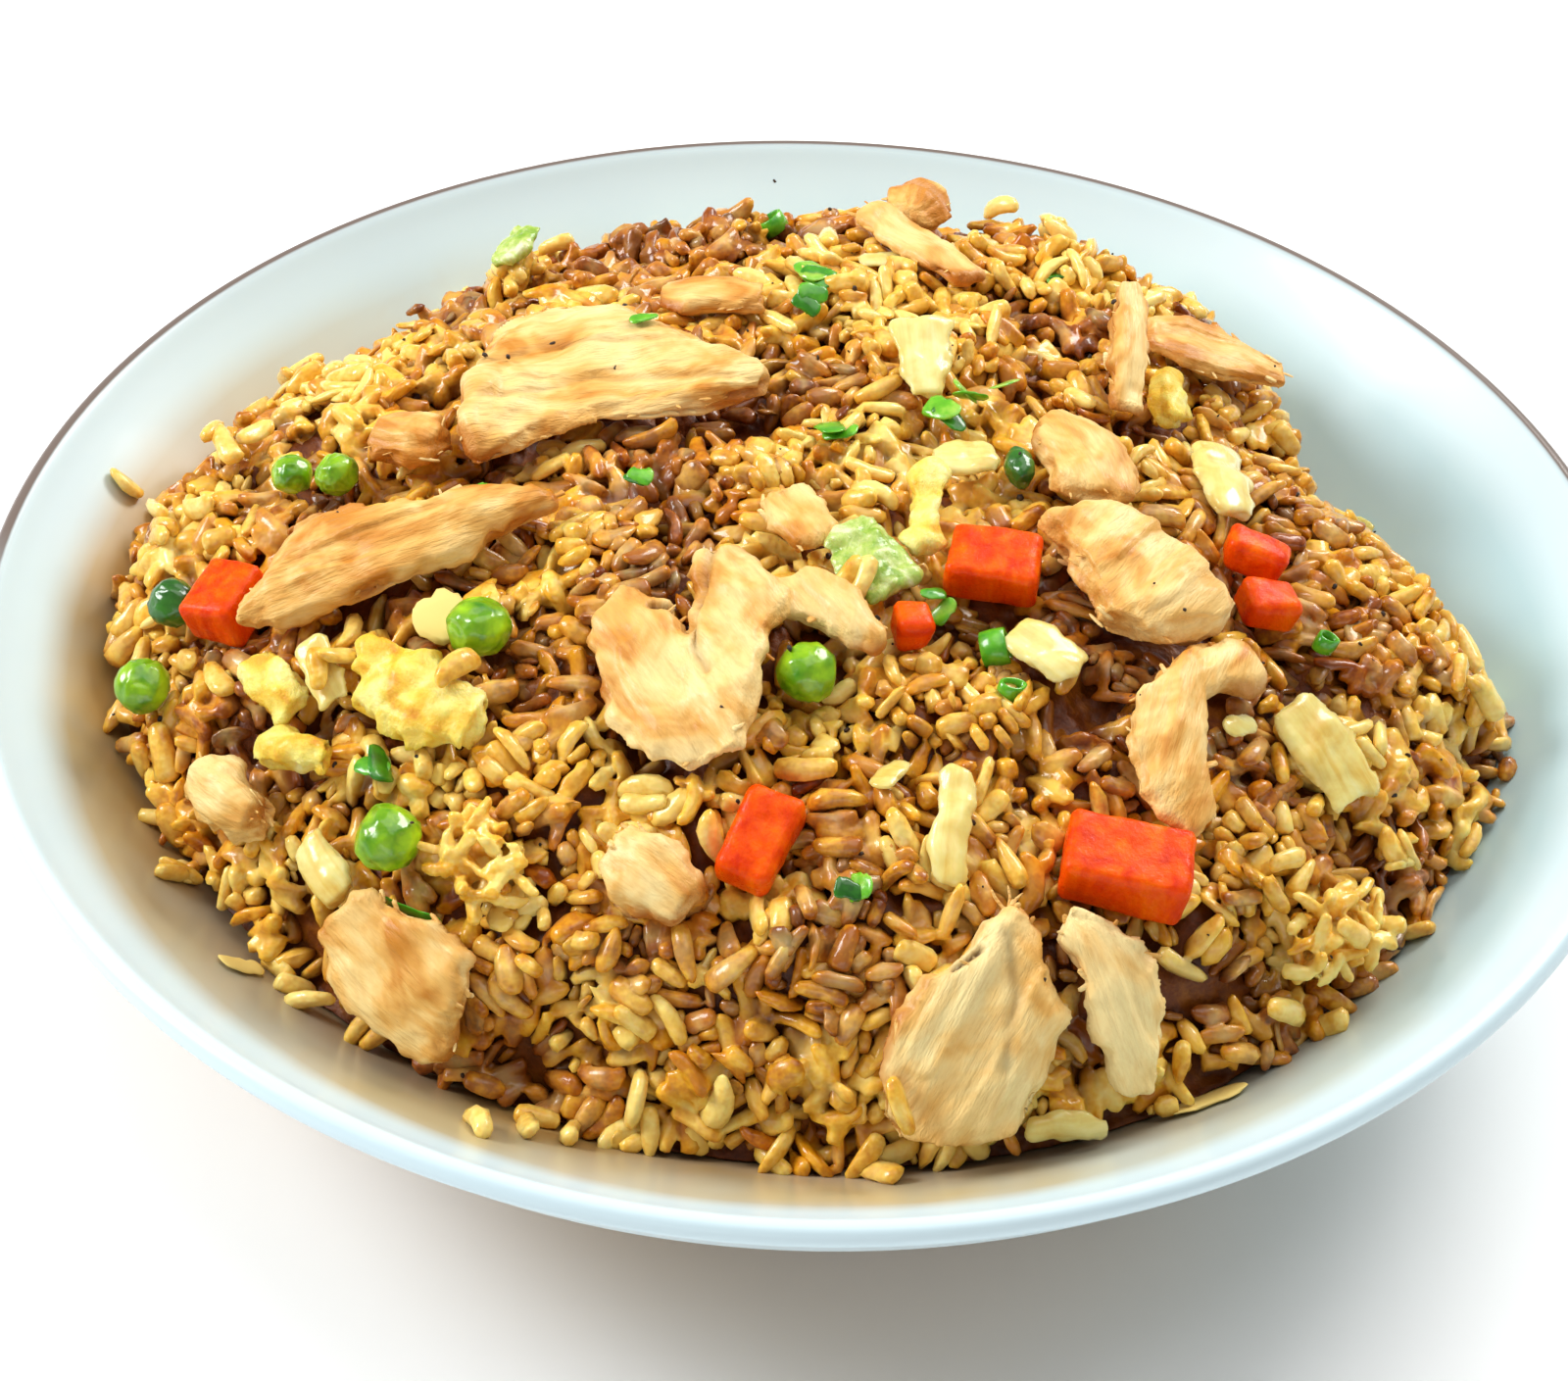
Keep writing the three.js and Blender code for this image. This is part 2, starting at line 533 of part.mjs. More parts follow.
// The lowest height of a topping over a point, or Infinity where it doesn't cover the point.
function undersides(topping) {
  const mesh = topping.room.getMesh();
  const corner = (i) => {
    const at = mesh.triVerts[i] * 3;
    return [mesh.vertProperties[at], mesh.vertProperties[at + 1], mesh.vertProperties[at + 2]];
  };
  const faces = [];
  for (let i = 0; i < mesh.triVerts.length; i += 3) {
    faces.push([corner(i), corner(i + 1), corner(i + 2)]);
  }
  const box = topping.room.boundingBox();
  return (x, y) => {
    if (x < box.min[0] || x > box.max[0] || y < box.min[1] || y > box.max[1]) {
      return Infinity;
    }
    return Math.min(...faces.map((face) => heightOver(face, x, y)));
  };
}

function heightOver([a, b, c], x, y) {
  const area = (b[0] - a[0]) * (c[1] - a[1]) - (c[0] - a[0]) * (b[1] - a[1]);
  if (Math.abs(area) < 1e-9) {
    return Infinity;
  }
  const u = ((x - a[0]) * (c[1] - a[1]) - (c[0] - a[0]) * (y - a[1])) / area;
  const v = ((b[0] - a[0]) * (y - a[1]) - (x - a[0]) * (b[1] - a[1])) / area;
  const inside = u >= 0 && v >= 0 && u + v <= 1;
  return inside ? a[2] + u * (b[2] - a[2]) + v * (c[2] - a[2]) : Infinity;
}

function farFromAll(points, x, y, spacing) {
  return points.every((point) => Math.hypot(point.x - x, point.y - y) >= spacing);
}

// The points of the heap's top: pairs along grain-sized bumps, valleys between them, and the edge.
function scatterTop(random) {
  const points = [];
  const reachable = (x, y, room) => Math.hypot(x, y) < heapEdge(azimuthOf(x, y)) - room;
  const spot = () => {
    const radius = SCATTER_RADIUS * Math.sqrt(random());
    const angle = random() * Math.PI * 2;
    return [radius * Math.cos(angle), radius * Math.sin(angle)];
  };
  for (let made = 0, tries = 0; made < GRAIN_BUMPS && tries < SCATTER_TRIES; tries++) {
    const [x, y] = spot();
    const turn = random() * Math.PI;
    const dx = BUMP_REACH * Math.cos(turn);
    const dy = BUMP_REACH * Math.sin(turn);
    const ends = [[x - dx, y - dy], [x + dx, y + dy]];
    if (ends.every(([u, v]) => reachable(u, v, EDGE_ROOM) && farFromAll(points, u, v, BUMP_SPACING))) {
      const height = BUMP_HEIGHT * (0.7 + 0.6 * random());
      ends.forEach(([u, v]) => points.push({ x: u, y: v, lift: height }));
      made += 1;
    }
  }
  for (let tries = 0; tries < VALLEY_TRIES; tries++) {
    const [x, y] = spot();
    if (reachable(x, y, EDGE_ROOM * 0.8) && farFromAll(points, x, y, VALLEY_SPACING)) {
      points.push({ x, y, lift: -VALLEY_DEPTH * random() });
    }
  }
  return points;
}

function edgeRing(share, height) {
  const ring = [];
  for (let i = 0; i < EDGE_POINTS; i++) {
    const angle = (i / EDGE_POINTS) * 360;
    const azimuth = angle > 180 ? angle - 360 : angle;
    const radius = heapEdge(azimuth) * share;
    const turn = radians(azimuth);
    ring.push({ x: radius * Math.cos(turn), y: radius * Math.sin(turn), z: height(radius) });
  }
  return ring;
}

// Delaunay triangles of points in plan: the lower hull of the points lifted onto a paraboloid.
function planTriangles(points) {
  const lifted = points.map((point, i) => {
    const high = (point.x ** 2 + point.y ** 2) / 100;
    return Object.assign(new THREE.Vector3(point.x, point.y, high), { id: i });
  });
  const hull = new ConvexHull().setFromPoints(lifted);
  const triangles = [];
  for (const face of hull.faces) {
    if (face.normal.z >= -1e-9) {
      continue;
    }
    const ids = [face.edge.head().point.id, face.edge.next.head().point.id, face.edge.prev.head().point.id];
    const x = (points[ids[0]].x + points[ids[1]].x + points[ids[2]].x) / 3;
    const y = (points[ids[0]].y + points[ids[1]].y + points[ids[2]].y) / 3;
    if (Math.hypot(x, y) < heapEdge(azimuthOf(x, y)) * 0.999) {
      triangles.push([ids[0], ids[2], ids[1]]);
    }
  }
  return triangles;
}

// The underside of the heap: rings that follow the dish, from the edge to the middle.
function addUnderside(points, triangles) {
  const clear = (radius) => wallHeight(radius) + WALL_GAP;
  let outer = Array.from({ length: EDGE_POINTS }, (_, i) => i);
  for (const [share, skip] of [[0.88, 2], [0.74, 2], [0.58, 4]]) {
    const first = points.length;
    edgeRing(share, clear).filter((_, i) => i % skip === 0).forEach((point) => points.push(point));
    const inner = Array.from({ length: EDGE_POINTS / skip }, (_, i) => first + i);
    const ratio = outer.length / inner.length;
    inner.forEach((id, i) => {
      const next = inner[(i + 1) % inner.length];
      for (let k = 0; k < ratio; k++) {
        const a = outer[i * ratio + k];
        const b = outer[(i * ratio + k + 1) % outer.length];
        triangles.push([a, id, b]);
      }
      triangles.push([id, next, outer[((i + 1) * ratio) % outer.length]]);
    });
    outer = inner;
  }
  const middle = points.length;
  points.push({ x: 0, y: 0, z: clear(0) });
  outer.forEach((id, i) => triangles.push([id, middle, outer[(i + 1) % outer.length]]));
}

function heapSolid(points, triangles) {
  const positions = points.flatMap(({ x, y, z }) => [x, y, z]);
  return solidOf(geometryOf(positions, triangles.flat()));
}

function lowestRice(x, y) {
  return wallHeight(Math.hypot(x, y)) + WALL_GAP + LEAST_DEPTH;
}

// Lowers the heap's top wherever a topping still touches it.
function clearToppings(points, triangles, free, toppings) {
  for (let round = 0; round < CLEARING_ROUNDS; round++) {
    const heap = heapSolid(points, triangles);
    let touched = false;
    for (const { room } of toppings) {
      const shared = heap.intersect(room);
      if (shared.isEmpty()) {
        continue;
      }
      touched = true;
      for (const piece of shared.decompose()) {
        const { min, max } = piece.boundingBox();
        const reach = CLEARING_REACH + CLEARING_GROWTH * round;
        free.forEach((id) => {
          const { x, y, z } = points[id];
          const near = x > min[0] - reach && x < max[0] + reach && y > min[1] - reach && y < max[1] + reach;
          if (near && z > min[2] - CLEARING_BELOW) {
            points[id].z = Math.max(z - CLEARING_STEP, lowestRice(x, y));
          }
        });
      }
    }
    if (!touched) {
      return heap;
    }
  }
  return heapSolid(points, triangles);
}

function riceGrain(at, seed, size) {
  const random = randomFrom(seed);
  const half = (GRAIN_LENGTH / 2) * size;
  const width = (GRAIN_WIDTH / 2) * size;
  const profile = GRAIN_PROFILE.map(([r, h]) => new THREE.Vector2(r * width, h * half));
  const grain = new THREE.LatheGeometry(profile, GRAIN_SIDES);
  const normal = heapNormal(at[0], at[1]);
  const lying = new THREE.Vector3(1, 0, 0).applyAxisAngle(new THREE.Vector3(0, 0, 1), random() * Math.PI * 2);
  lying.addScaledVector(normal, -lying.dot(normal)).normalize();
  lying.addScaledVector(normal, jitter(random, 0.45)).normalize();
  const turn = new THREE.Quaternion().setFromUnitVectors(new THREE.Vector3(0, 1, 0), lying);
  const place = new THREE.Vector3(...at).addScaledVector(normal, width * 0.6);
  return grain.applyMatrix4(new THREE.Matrix4().compose(place, turn, new THREE.Vector3(1, 1, 1)));
}

function greenOnionBit([x, y, size], seed) {
  const ring = new THREE.CylinderGeometry(size / 2, size / 2, size * 0.62, 6);
  const random = randomFrom(seed);
  ring.rotateX(Math.PI / 2).rotateY(jitter(random, 0.9)).rotateZ(random() * 3);
  return settle(ring, [x, y], size * 0.12, 0, seed);
}

// Adds a scrap to the heap where it is clear of the toppings and of the dish.
function fuse(heap, scrap, toppings, dish) {
  const touches = (solid) => !solid.intersect(scrap).isEmpty();
  return touches(dish) || toppings.some(({ room }) => touches(room)) ? heap : heap.add(scrap);
}

function makeRice(toppings, dish) {
  const random = randomFrom(SEEDS.heap);
  const clumps = Array.from({ length: CLUMPS }, () => {
    const radius = 88 * Math.sqrt(random());
    const angle = random() * Math.PI * 2;
    const reach = 6 + 5 * random();
    return [radius * Math.cos(angle), radius * Math.sin(angle), jitter(random, CLUMP_HEIGHT), reach];
  });
  const covers = toppings.map(undersides);
  const around = [[0, 0], ...[0, 60, 120, 180, 240, 300].map((angle) => {
    return [TOPPING_MARGIN * Math.cos(radians(angle)), TOPPING_MARGIN * Math.sin(radians(angle))];
  })];
  const top = scatterTop(random);
  for (const point of top) {
    const { x, y } = point;
    const rough = clumps.reduce((sum, clump) => sum + hill(clump, x, y), 0);
    const cover = Math.min(...covers.flatMap((under) => around.map(([dx, dy]) => under(x + dx, y + dy))));
    const high = Math.min(heapHeight(x, y) + rough + point.lift, cover - COVER_GAP);
    point.z = Math.max(high, lowestRice(x, y));
  }
  const points = [...edgeRing(1, (radius) => wallHeight(radius) + WALL_GAP), ...top];
  const free = top.map((_, i) => EDGE_POINTS + i);
  const triangles = planTriangles(points);
  addUnderside(points, triangles);
  let heap = clearToppings(points, triangles, free, toppings);
  const crests = free.filter((id) => points[id].lift > 0);
  for (let i = 0; i < LOOSE_GRAINS; i++) {
    const { x, y, z } = points[crests[Math.floor((i * crests.length) / LOOSE_GRAINS)]];
    const size = 1.15 - (0.3 * i) / LOOSE_GRAINS;
    heap = fuse(heap, solidOf(riceGrain([x, y, z], SEEDS.grain + i, size)), toppings, dish);
  }
  GREENS.forEach((green, i) => {
    heap = fuse(heap, solidOf(greenOnionBit(green, SEEDS.green + i)), toppings, dish);
  });
  return largestBody(heap);
}

function named(name, kind, geometry) {
  const [color, roughness] = COLOURS[kind];
  const material = new THREE.MeshStandardMaterial({ color, roughness, metalness: 0 });
  const mesh = new THREE.Mesh(geometry, material);
  mesh.name = name;
  return mesh;
}

const part = new THREE.Group();
const dishShape = dishGeometry();
const toppings = makeToppings();
part.add(named("dish", "dish", dishShape));
part.add(named("rice", "rice", geometryFrom(makeRice(toppings, solidOf(dishShape)))));
for (const { kind, name, solid } of toppings) {
  part.add(named(name, kind, geometryFrom(solid)));
}

export default part;
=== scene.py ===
"""A plate of fried rice in a shallow white bowl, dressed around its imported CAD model.

The dish is turned afresh from its profile, every topping is a fine copy of its CAD solid with its own
grain, and the rice is a brown core under some thousands of grains that are settled onto it here.
Lengths are millimetres until a mesh is made, and metres in Blender.
"""
import math

import bpy
import numpy as np
from mathutils import Matrix, Vector
from mathutils.bvhtree import BVHTree
from mathutils.kdtree import KDTree


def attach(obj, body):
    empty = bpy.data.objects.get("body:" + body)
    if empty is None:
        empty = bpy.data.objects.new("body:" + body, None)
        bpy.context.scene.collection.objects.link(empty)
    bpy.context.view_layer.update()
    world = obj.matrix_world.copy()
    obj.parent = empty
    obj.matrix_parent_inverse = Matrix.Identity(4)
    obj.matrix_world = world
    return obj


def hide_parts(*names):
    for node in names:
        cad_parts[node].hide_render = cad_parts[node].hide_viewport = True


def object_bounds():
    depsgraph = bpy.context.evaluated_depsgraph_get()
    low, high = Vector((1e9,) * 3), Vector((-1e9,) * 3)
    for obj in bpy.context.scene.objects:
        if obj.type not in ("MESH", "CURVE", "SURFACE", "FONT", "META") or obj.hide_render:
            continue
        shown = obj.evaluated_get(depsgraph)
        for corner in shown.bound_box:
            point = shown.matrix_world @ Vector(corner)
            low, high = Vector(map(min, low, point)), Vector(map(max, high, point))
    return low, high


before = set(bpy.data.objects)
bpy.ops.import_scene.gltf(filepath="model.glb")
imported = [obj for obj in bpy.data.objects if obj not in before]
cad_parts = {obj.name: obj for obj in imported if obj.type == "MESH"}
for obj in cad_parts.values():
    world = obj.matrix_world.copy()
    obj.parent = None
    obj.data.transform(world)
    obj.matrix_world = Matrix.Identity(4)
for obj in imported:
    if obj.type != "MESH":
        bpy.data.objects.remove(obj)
cad_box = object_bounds()

MM = 0.001
UP = Vector((0, 0, 1))
DOWN = Vector((0, 0, -1))

# A height over everything, for looking straight down on the food
OVERHEAD = 90

# Camera, fitted to the rim of the dish in the photograph
CAMERA_PLACE = (0.0, -0.3216, 0.3101)
CAMERA_PAN = -0.648
CAMERA_TILT = 41.679
CAMERA_ROLL = 1.821
CAMERA_LENS = 72
CAMERA_SENSOR = 36

# Dish
RIM_RADIUS = 110
RIM_HEIGHT = 44
WALL_TOP_RADIUS = 108.4
FLOOR_RADIUS = 45
WELL_DEPTH = 38
WALL_CURVE = 1.6
WALL_THICK = 4.6
LIP_RADIUS = 1.6
FOOT_OUTER = 46.5
FOOT_INNER = 40
FOOT_RECESS = 1.8
DISH_SEGMENTS = 192

# Rice: how many rods of each size, their half lengths and their radii
SIZES = {
    "whole": (3500, (1.3, 2.6), (1.05, 1.45)),
    "short": (1900, (0.3, 1.3), (0.95, 1.45)),
    "crumb": (1400, (0.15, 0.8), (0.6, 1.1)),
}
FLAKES = 420
PEPPER_SPECKS = 150
PEPPER_TRIES = 110

# The skin of grains: how deep it lies on the core, and how far it may stand out of the CAD heap
SHELL = 3.3
SURFACE_ROOM = 2.0
SETTLE_STEPS = 90

# Grains that are thrown at a time
HANDFUL = 4000

# Pits in the core: the width of the bumps that they come from, and how deep they are
PIT_WIDTH = 6.8
PIT_DEPTH = 2.2

# Sticky clumps: how far apart, how uneven in height, how strongly they draw their grains together,
# and how near two grains may come as a share of their radii
CLUMP_SPACING = 8.5
CLUMP_LIFT = 1.2
CLUMP_PULL = 0.004
INSIDE_CLUMP = 0.86
BETWEEN_CLUMPS = 0.95

# The one skin over the grains of a shade, and the share of grains that lie on it loose
CLUMP_VOXEL = 0.36
CLUMP_SLIMMING = 0.9
CLUMP_TRIANGLES = 114000
LOOSE_SHARE = 0.13

# Shades of soy, and where one ends and the next begins, as shares of all grains
SHADES = ("pale", "golden", "browned")
SHADE_SHARES = (0.47, 0.86)

# The grid of heights in plan, and the radius that the heap stays within
GRID_HALF = 112
HEAP_REACH = 98

# Chopped green onion: x, y and size, as in the CAD heap; which bits are tubes; and how far some are sunk
GREENS = [
    (22.4, -33, 5), (2.2, 3, 4.6), (50, 13, 5), (-2, 41.5, 5), (-1.6, 33.5, 4.6), (24, -40, 3.6),
    (16, 8.4, 4), (19, 11.6, 4.4), (-52, -47, 4.6), (-42, -9, 3.2), (64, -22, 3.4), (6.4, -66.5, 3.6),
    (-22.5, -7, 3.6), (15.5, -26.8, 3.4), (-8, 66, 4), (34, 52, 4), (-36, 66, 4),
]
TUBES = (0, 5, 10, 14)
SUNK_GREENS = {14: 2.4, 15: 0.8, 16: 3.0}

# Grains stuck to the toppings: x, y and how many
STUCK_GRAINS = [
    (1.5, -22.2, 1), (4.7, -25.5, 2), (-1.8, -20.6, 1), (-35.9, -10.4, 1), (-58, -33, 2), (-44, -41, 1),
    (42.2, -31.3, 1), (36, 12, 1), (-36.5, 31, 1), (-60, -36.5, 1),
]

# Grains on the bare wall and along the foot of the heap: x, y, how many and how far apart
WALL_GRAINS = [
    (-97.6, 23, 1, 0), (-78.9, -44.8, 2, 1), (-82, 12, 4, 3), (-84, 2, 3, 3), (-52, 68, 8, 4),
    (-45, 70, 6, 4), (-74, 40, 4, 4), (74, -44, 4, 3), (60, -64, 4, 3), (84, -14, 3, 3), (-30, -84, 4, 3),
    (10, -87, 3, 3), (-62, -62, 3, 3), (30, 72, 4, 3), (66, 52, 4, 3), (78.6, 30, 2, 3),
]

# Grains heaped up under the far leaf: place, how many, spread, height over the heap
PILED_GRAINS = [(-44.5, 52.5, 9, 1.5, 0.6), (-44.5, 52.0, 6, 1.0, 2.0)]

# The one speck of pepper on the far wall
SPECK_ON_WALL = (-8.9, 103.5, 39.6)

# Small scraps: paint, x, y, half length, half width, thickness, and turn in degrees
SCRAPS = [
    ("scrambled_egg", -68.2, -60.7, 3.2, 1.5, 0.5, 35), ("scrambled_egg", -78.2, -44.2, 2.4, 1.5, 0.9, 70),
    ("scrambled_egg", 49, -75, 5.2, 2.1, 0.6, 18), ("scrambled_egg", -46, -28.4, 3.4, 2.9, 1.1, 20),
    ("scrambled_egg", -15, 42, 3.2, 1.6, 0.8, -20),
    ("fried_onion", 78.6, 36.8, 2.6, 2.0, 0.7, 40), ("fried_onion", 49, 14, 3.2, 0.8, 0.7, 75),
    ("fried_onion", 8, 50, 3.8, 1.8, 0.8, 15),
    ("fried_onion", 10, -52, 3.4, 1.5, 0.7, 60), ("fried_onion", 52, -38, 3.0, 1.6, 0.7, 30),
    ("green_onion", -46, -64, 4.0, 1.5, 0.35, -35), ("green_onion", 24, 14, 2.4, 1.1, 0.4, 50),
    ("green_onion", -24, 21, 2.0, 1.0, 0.4, 10),
]

# Slits and folds in the chicken: a path of x and y, its half width, its depth, and how much painted shade
# lies in it
SLITS = {
    "chicken_middle_flap": [
        (((-19.4, -32.3), (-16.6, -32.6), (-14.3, -33.4)), 0.55, 1.5, 1.0),
        (((-12.4, -23.8), (-13.4, -30.5), (-14.8, -35.6), (-14, -40.2), (-12.4, -43.6)), 0.6, 0.8, 0.35)],
    "chicken_front_flap": [
        (((12.4, -73.9), (16.3, -70.6), (21.9, -68.3)), 0.9, 0.5, 0.2),
        (((17.4, -74.8), (20.4, -73.2)), 0.4, 0.9, 0.9),
        (((23.5, -72), (25, -77), (24, -82)), 0.8, 0.6, 0.3)],
    "chicken_chunk": [(((31, -6), (37, -11), (44, -14)), 0.8, 0.4, 0.2)],
    "chicken_left_strip": [(((-70, -18), (-60, -11), (-48, -7)), 0.7, 0.45, 0.3)],
    "chicken_broad_slice": [
        (((-50, 10), (-38, 17), (-22, 18)), 0.6, 0.35, 0.25),
        (((-44, 5), (-30, 11), (-12, 10)), 0.6, 0.35, 0.2)],
}

# Chicken whose fibres run across its longer side, and torn fibres on each piece
FIBRES_ACROSS = ("chicken_middle_flap", "chicken_chunk")
SHREDS = 8

# How much more tanned than the others a piece of chicken is, with painted light and shade on top: darker
# for pieces in shade, paler for lit ones
TAN_AND_SHADE = {
    "chicken_front_curl": -0.2, "chicken_middle_flap": -0.03, "chicken_broad_slice": -0.03,
    "chicken_far_knob": 0.1, "chicken_brown_lump": 0.09, "chicken_left_strip": 0.09,
    "chicken_lower_left": 0.04, "chicken_wedge": 0.1, "chicken_behind_slice": 0.08,
    "chicken_standing_strip": 0.05, "chicken_front_flap": -0.08, "chicken_upper_right": 0.05,
}

# Flats that a pea's shrunken skin has
PEA_FLATS = 8

# Toppings that are lumps of pale rice, with the slots of their CAD solids, and the room of a grain there
RICE_LUMPS = {"egg_pale": "scrambled_egg", "onion_clump": "onion"}
LUMP_SPACING = 1.9
LUMP_TRIES = 4000


def srgb(shade):
    """A colour given as it looks on a screen, 0 to 255, in the linear values that Blender reads."""
    def linear(value):
        share = value / 255
        return share / 12.92 if share <= 0.04045 else ((share + 0.055) / 1.055) ** 2.4
    return (*map(linear, shade), 1)


# Noise and small geometry tools

def cell_value(i, j, k, seed):
    mixed = i * np.uint32(374761393) + j * np.uint32(668265263) + k * np.uint32(1274126177)
    mixed = mixed + np.uint32(seed * 7919 % 4294967295)
    mixed = (mixed ^ (mixed >> np.uint32(13))) * np.uint32(1103515245)
    mixed = (mixed ^ (mixed >> np.uint32(15))) * np.uint32(2246822519)
    return (mixed ^ (mixed >> np.uint32(16))).astype(float) / 4294967295


def noise(points, size, seed=0):
    """Smooth noise from -1 to 1 at each point. size is the width of its features, one number or three."""
    scaled = np.asarray(points, float) / np.asarray(size, float)
    low = np.floor(scaled)
    part = scaled - low
    part = part * part * (3 - 2 * part)
    cell = low.astype(np.int64).astype(np.uint32)
    total = np.zeros(len(scaled))
    for corner in range(8):
        step = [(corner >> axis) & 1 for axis in range(3)]
        share = np.ones(len(scaled))
        for axis in range(3):
            share = share * (part[:, axis] if step[axis] else 1 - part[:, axis])
        i, j, k = (cell[:, axis] + np.uint32(step[axis]) for axis in range(3))
        total += share * cell_value(i, j, k, seed)
    return total * 2 - 1


def layered(points, size, seed, layers=3):
    total = np.zeros(len(points))
    for layer in range(layers):
        total += noise(points, np.asarray(size, float) / 2**layer, seed + 31 * layer) / 2**layer
    return total


def normalised(vectors):
    return vectors / np.maximum(np.linalg.norm(vectors, axis=-1, keepdims=True), 1e-9)


def smoothstep(low, high, value):
    share = np.clip((value - low) / (high - low), 0, 1)
    return share * share * (3 - 2 * share)


def across(ways, normals):
    """Directions turned square to the normals."""
    return normalised(ways - normals * (ways * normals).sum(-1, keepdims=True))


def circle(count):
    return np.linspace(0, 2 * math.pi, count, endpoint=False)


def band(ring, other):
    """The triangles between two closed rings of as many points, given by their indices."""
    ring_next, other_next = np.roll(ring, -1), np.roll(other, -1)
    return np.vstack([np.stack([ring, other, other_next], axis=1),
                      np.stack([ring, other_next, ring_next], axis=1)])


def fan(point, ring):
    """The triangles from one point to a closed ring."""
    return np.stack([np.full(len(ring), point), ring, np.roll(ring, -1)], axis=1)


def link(name, mesh):
    piece = bpy.data.objects.new(name, mesh)
    bpy.context.scene.collection.objects.link(piece)
    return piece


def mesh_of(name, points, faces):
    """A smooth mesh from points in millimetres and an array of faces that all have as many corners."""
    mesh = bpy.data.meshes.new(name)
    sides = faces.shape[1]
    mesh.vertices.add(len(points))
    mesh.vertices.foreach_set("co", (np.asarray(points) * MM).astype(np.float32).ravel())
    mesh.loops.add(faces.size)
    mesh.loops.foreach_set("vertex_index", faces.astype(np.int32).ravel())
    mesh.polygons.add(len(faces))
    mesh.polygons.foreach_set("loop_start", np.arange(0, faces.size, sides, dtype=np.int32))
    mesh.polygons.foreach_set("use_smooth", np.ones(len(faces), bool))
    mesh.update(calc_edges=True)
    return mesh


def rows_of(mesh, field):
    flat = np.empty(len(mesh.vertices) * 3, np.float32)
    mesh.vertices.foreach_get(field, flat)
    return flat.reshape(-1, 3).astype(float)


def points_of(mesh):
    return rows_of(mesh, "co") / MM


def normals_of(mesh):
    return rows_of(mesh, "normal")


def set_points(mesh, points):
    ceiling = cad_box[1].z / MM
    points = np.array(points)
    points[:, 2] = np.minimum(points[:, 2], ceiling)
    mesh.vertices.foreach_set("co", (points * MM).astype(np.float32).ravel())
    mesh.update()


def set_values(mesh, name, values):
    """Keeps one number for each point of a mesh, or a row of three."""
    values = np.asarray(values, np.float32)
    kind, field = ("FLOAT", "value") if values.ndim == 1 else ("FLOAT_VECTOR", "vector")
    mesh.attributes.new(name, kind, "POINT").data.foreach_set(field, values.ravel())


def seen_from_above(tree, x, y):
    """What a look straight down on a place in plan meets: a point and its normal first, or None."""
    return tree.ray_cast(Vector((float(x), float(y), OVERHEAD)), DOWN)


def tree_of(nodes):
    """One search tree over the meshes of several CAD nodes, in millimetres."""
    points, faces = [], []
    for node in nodes:
        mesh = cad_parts[node].data
        first = len(points)
        points.extend(tuple(point) for point in points_of(mesh))
        faces.extend(tuple(first + i for i in face.vertices) for face in mesh.polygons)
    return BVHTree.FromPolygons(points, faces)


# Materials

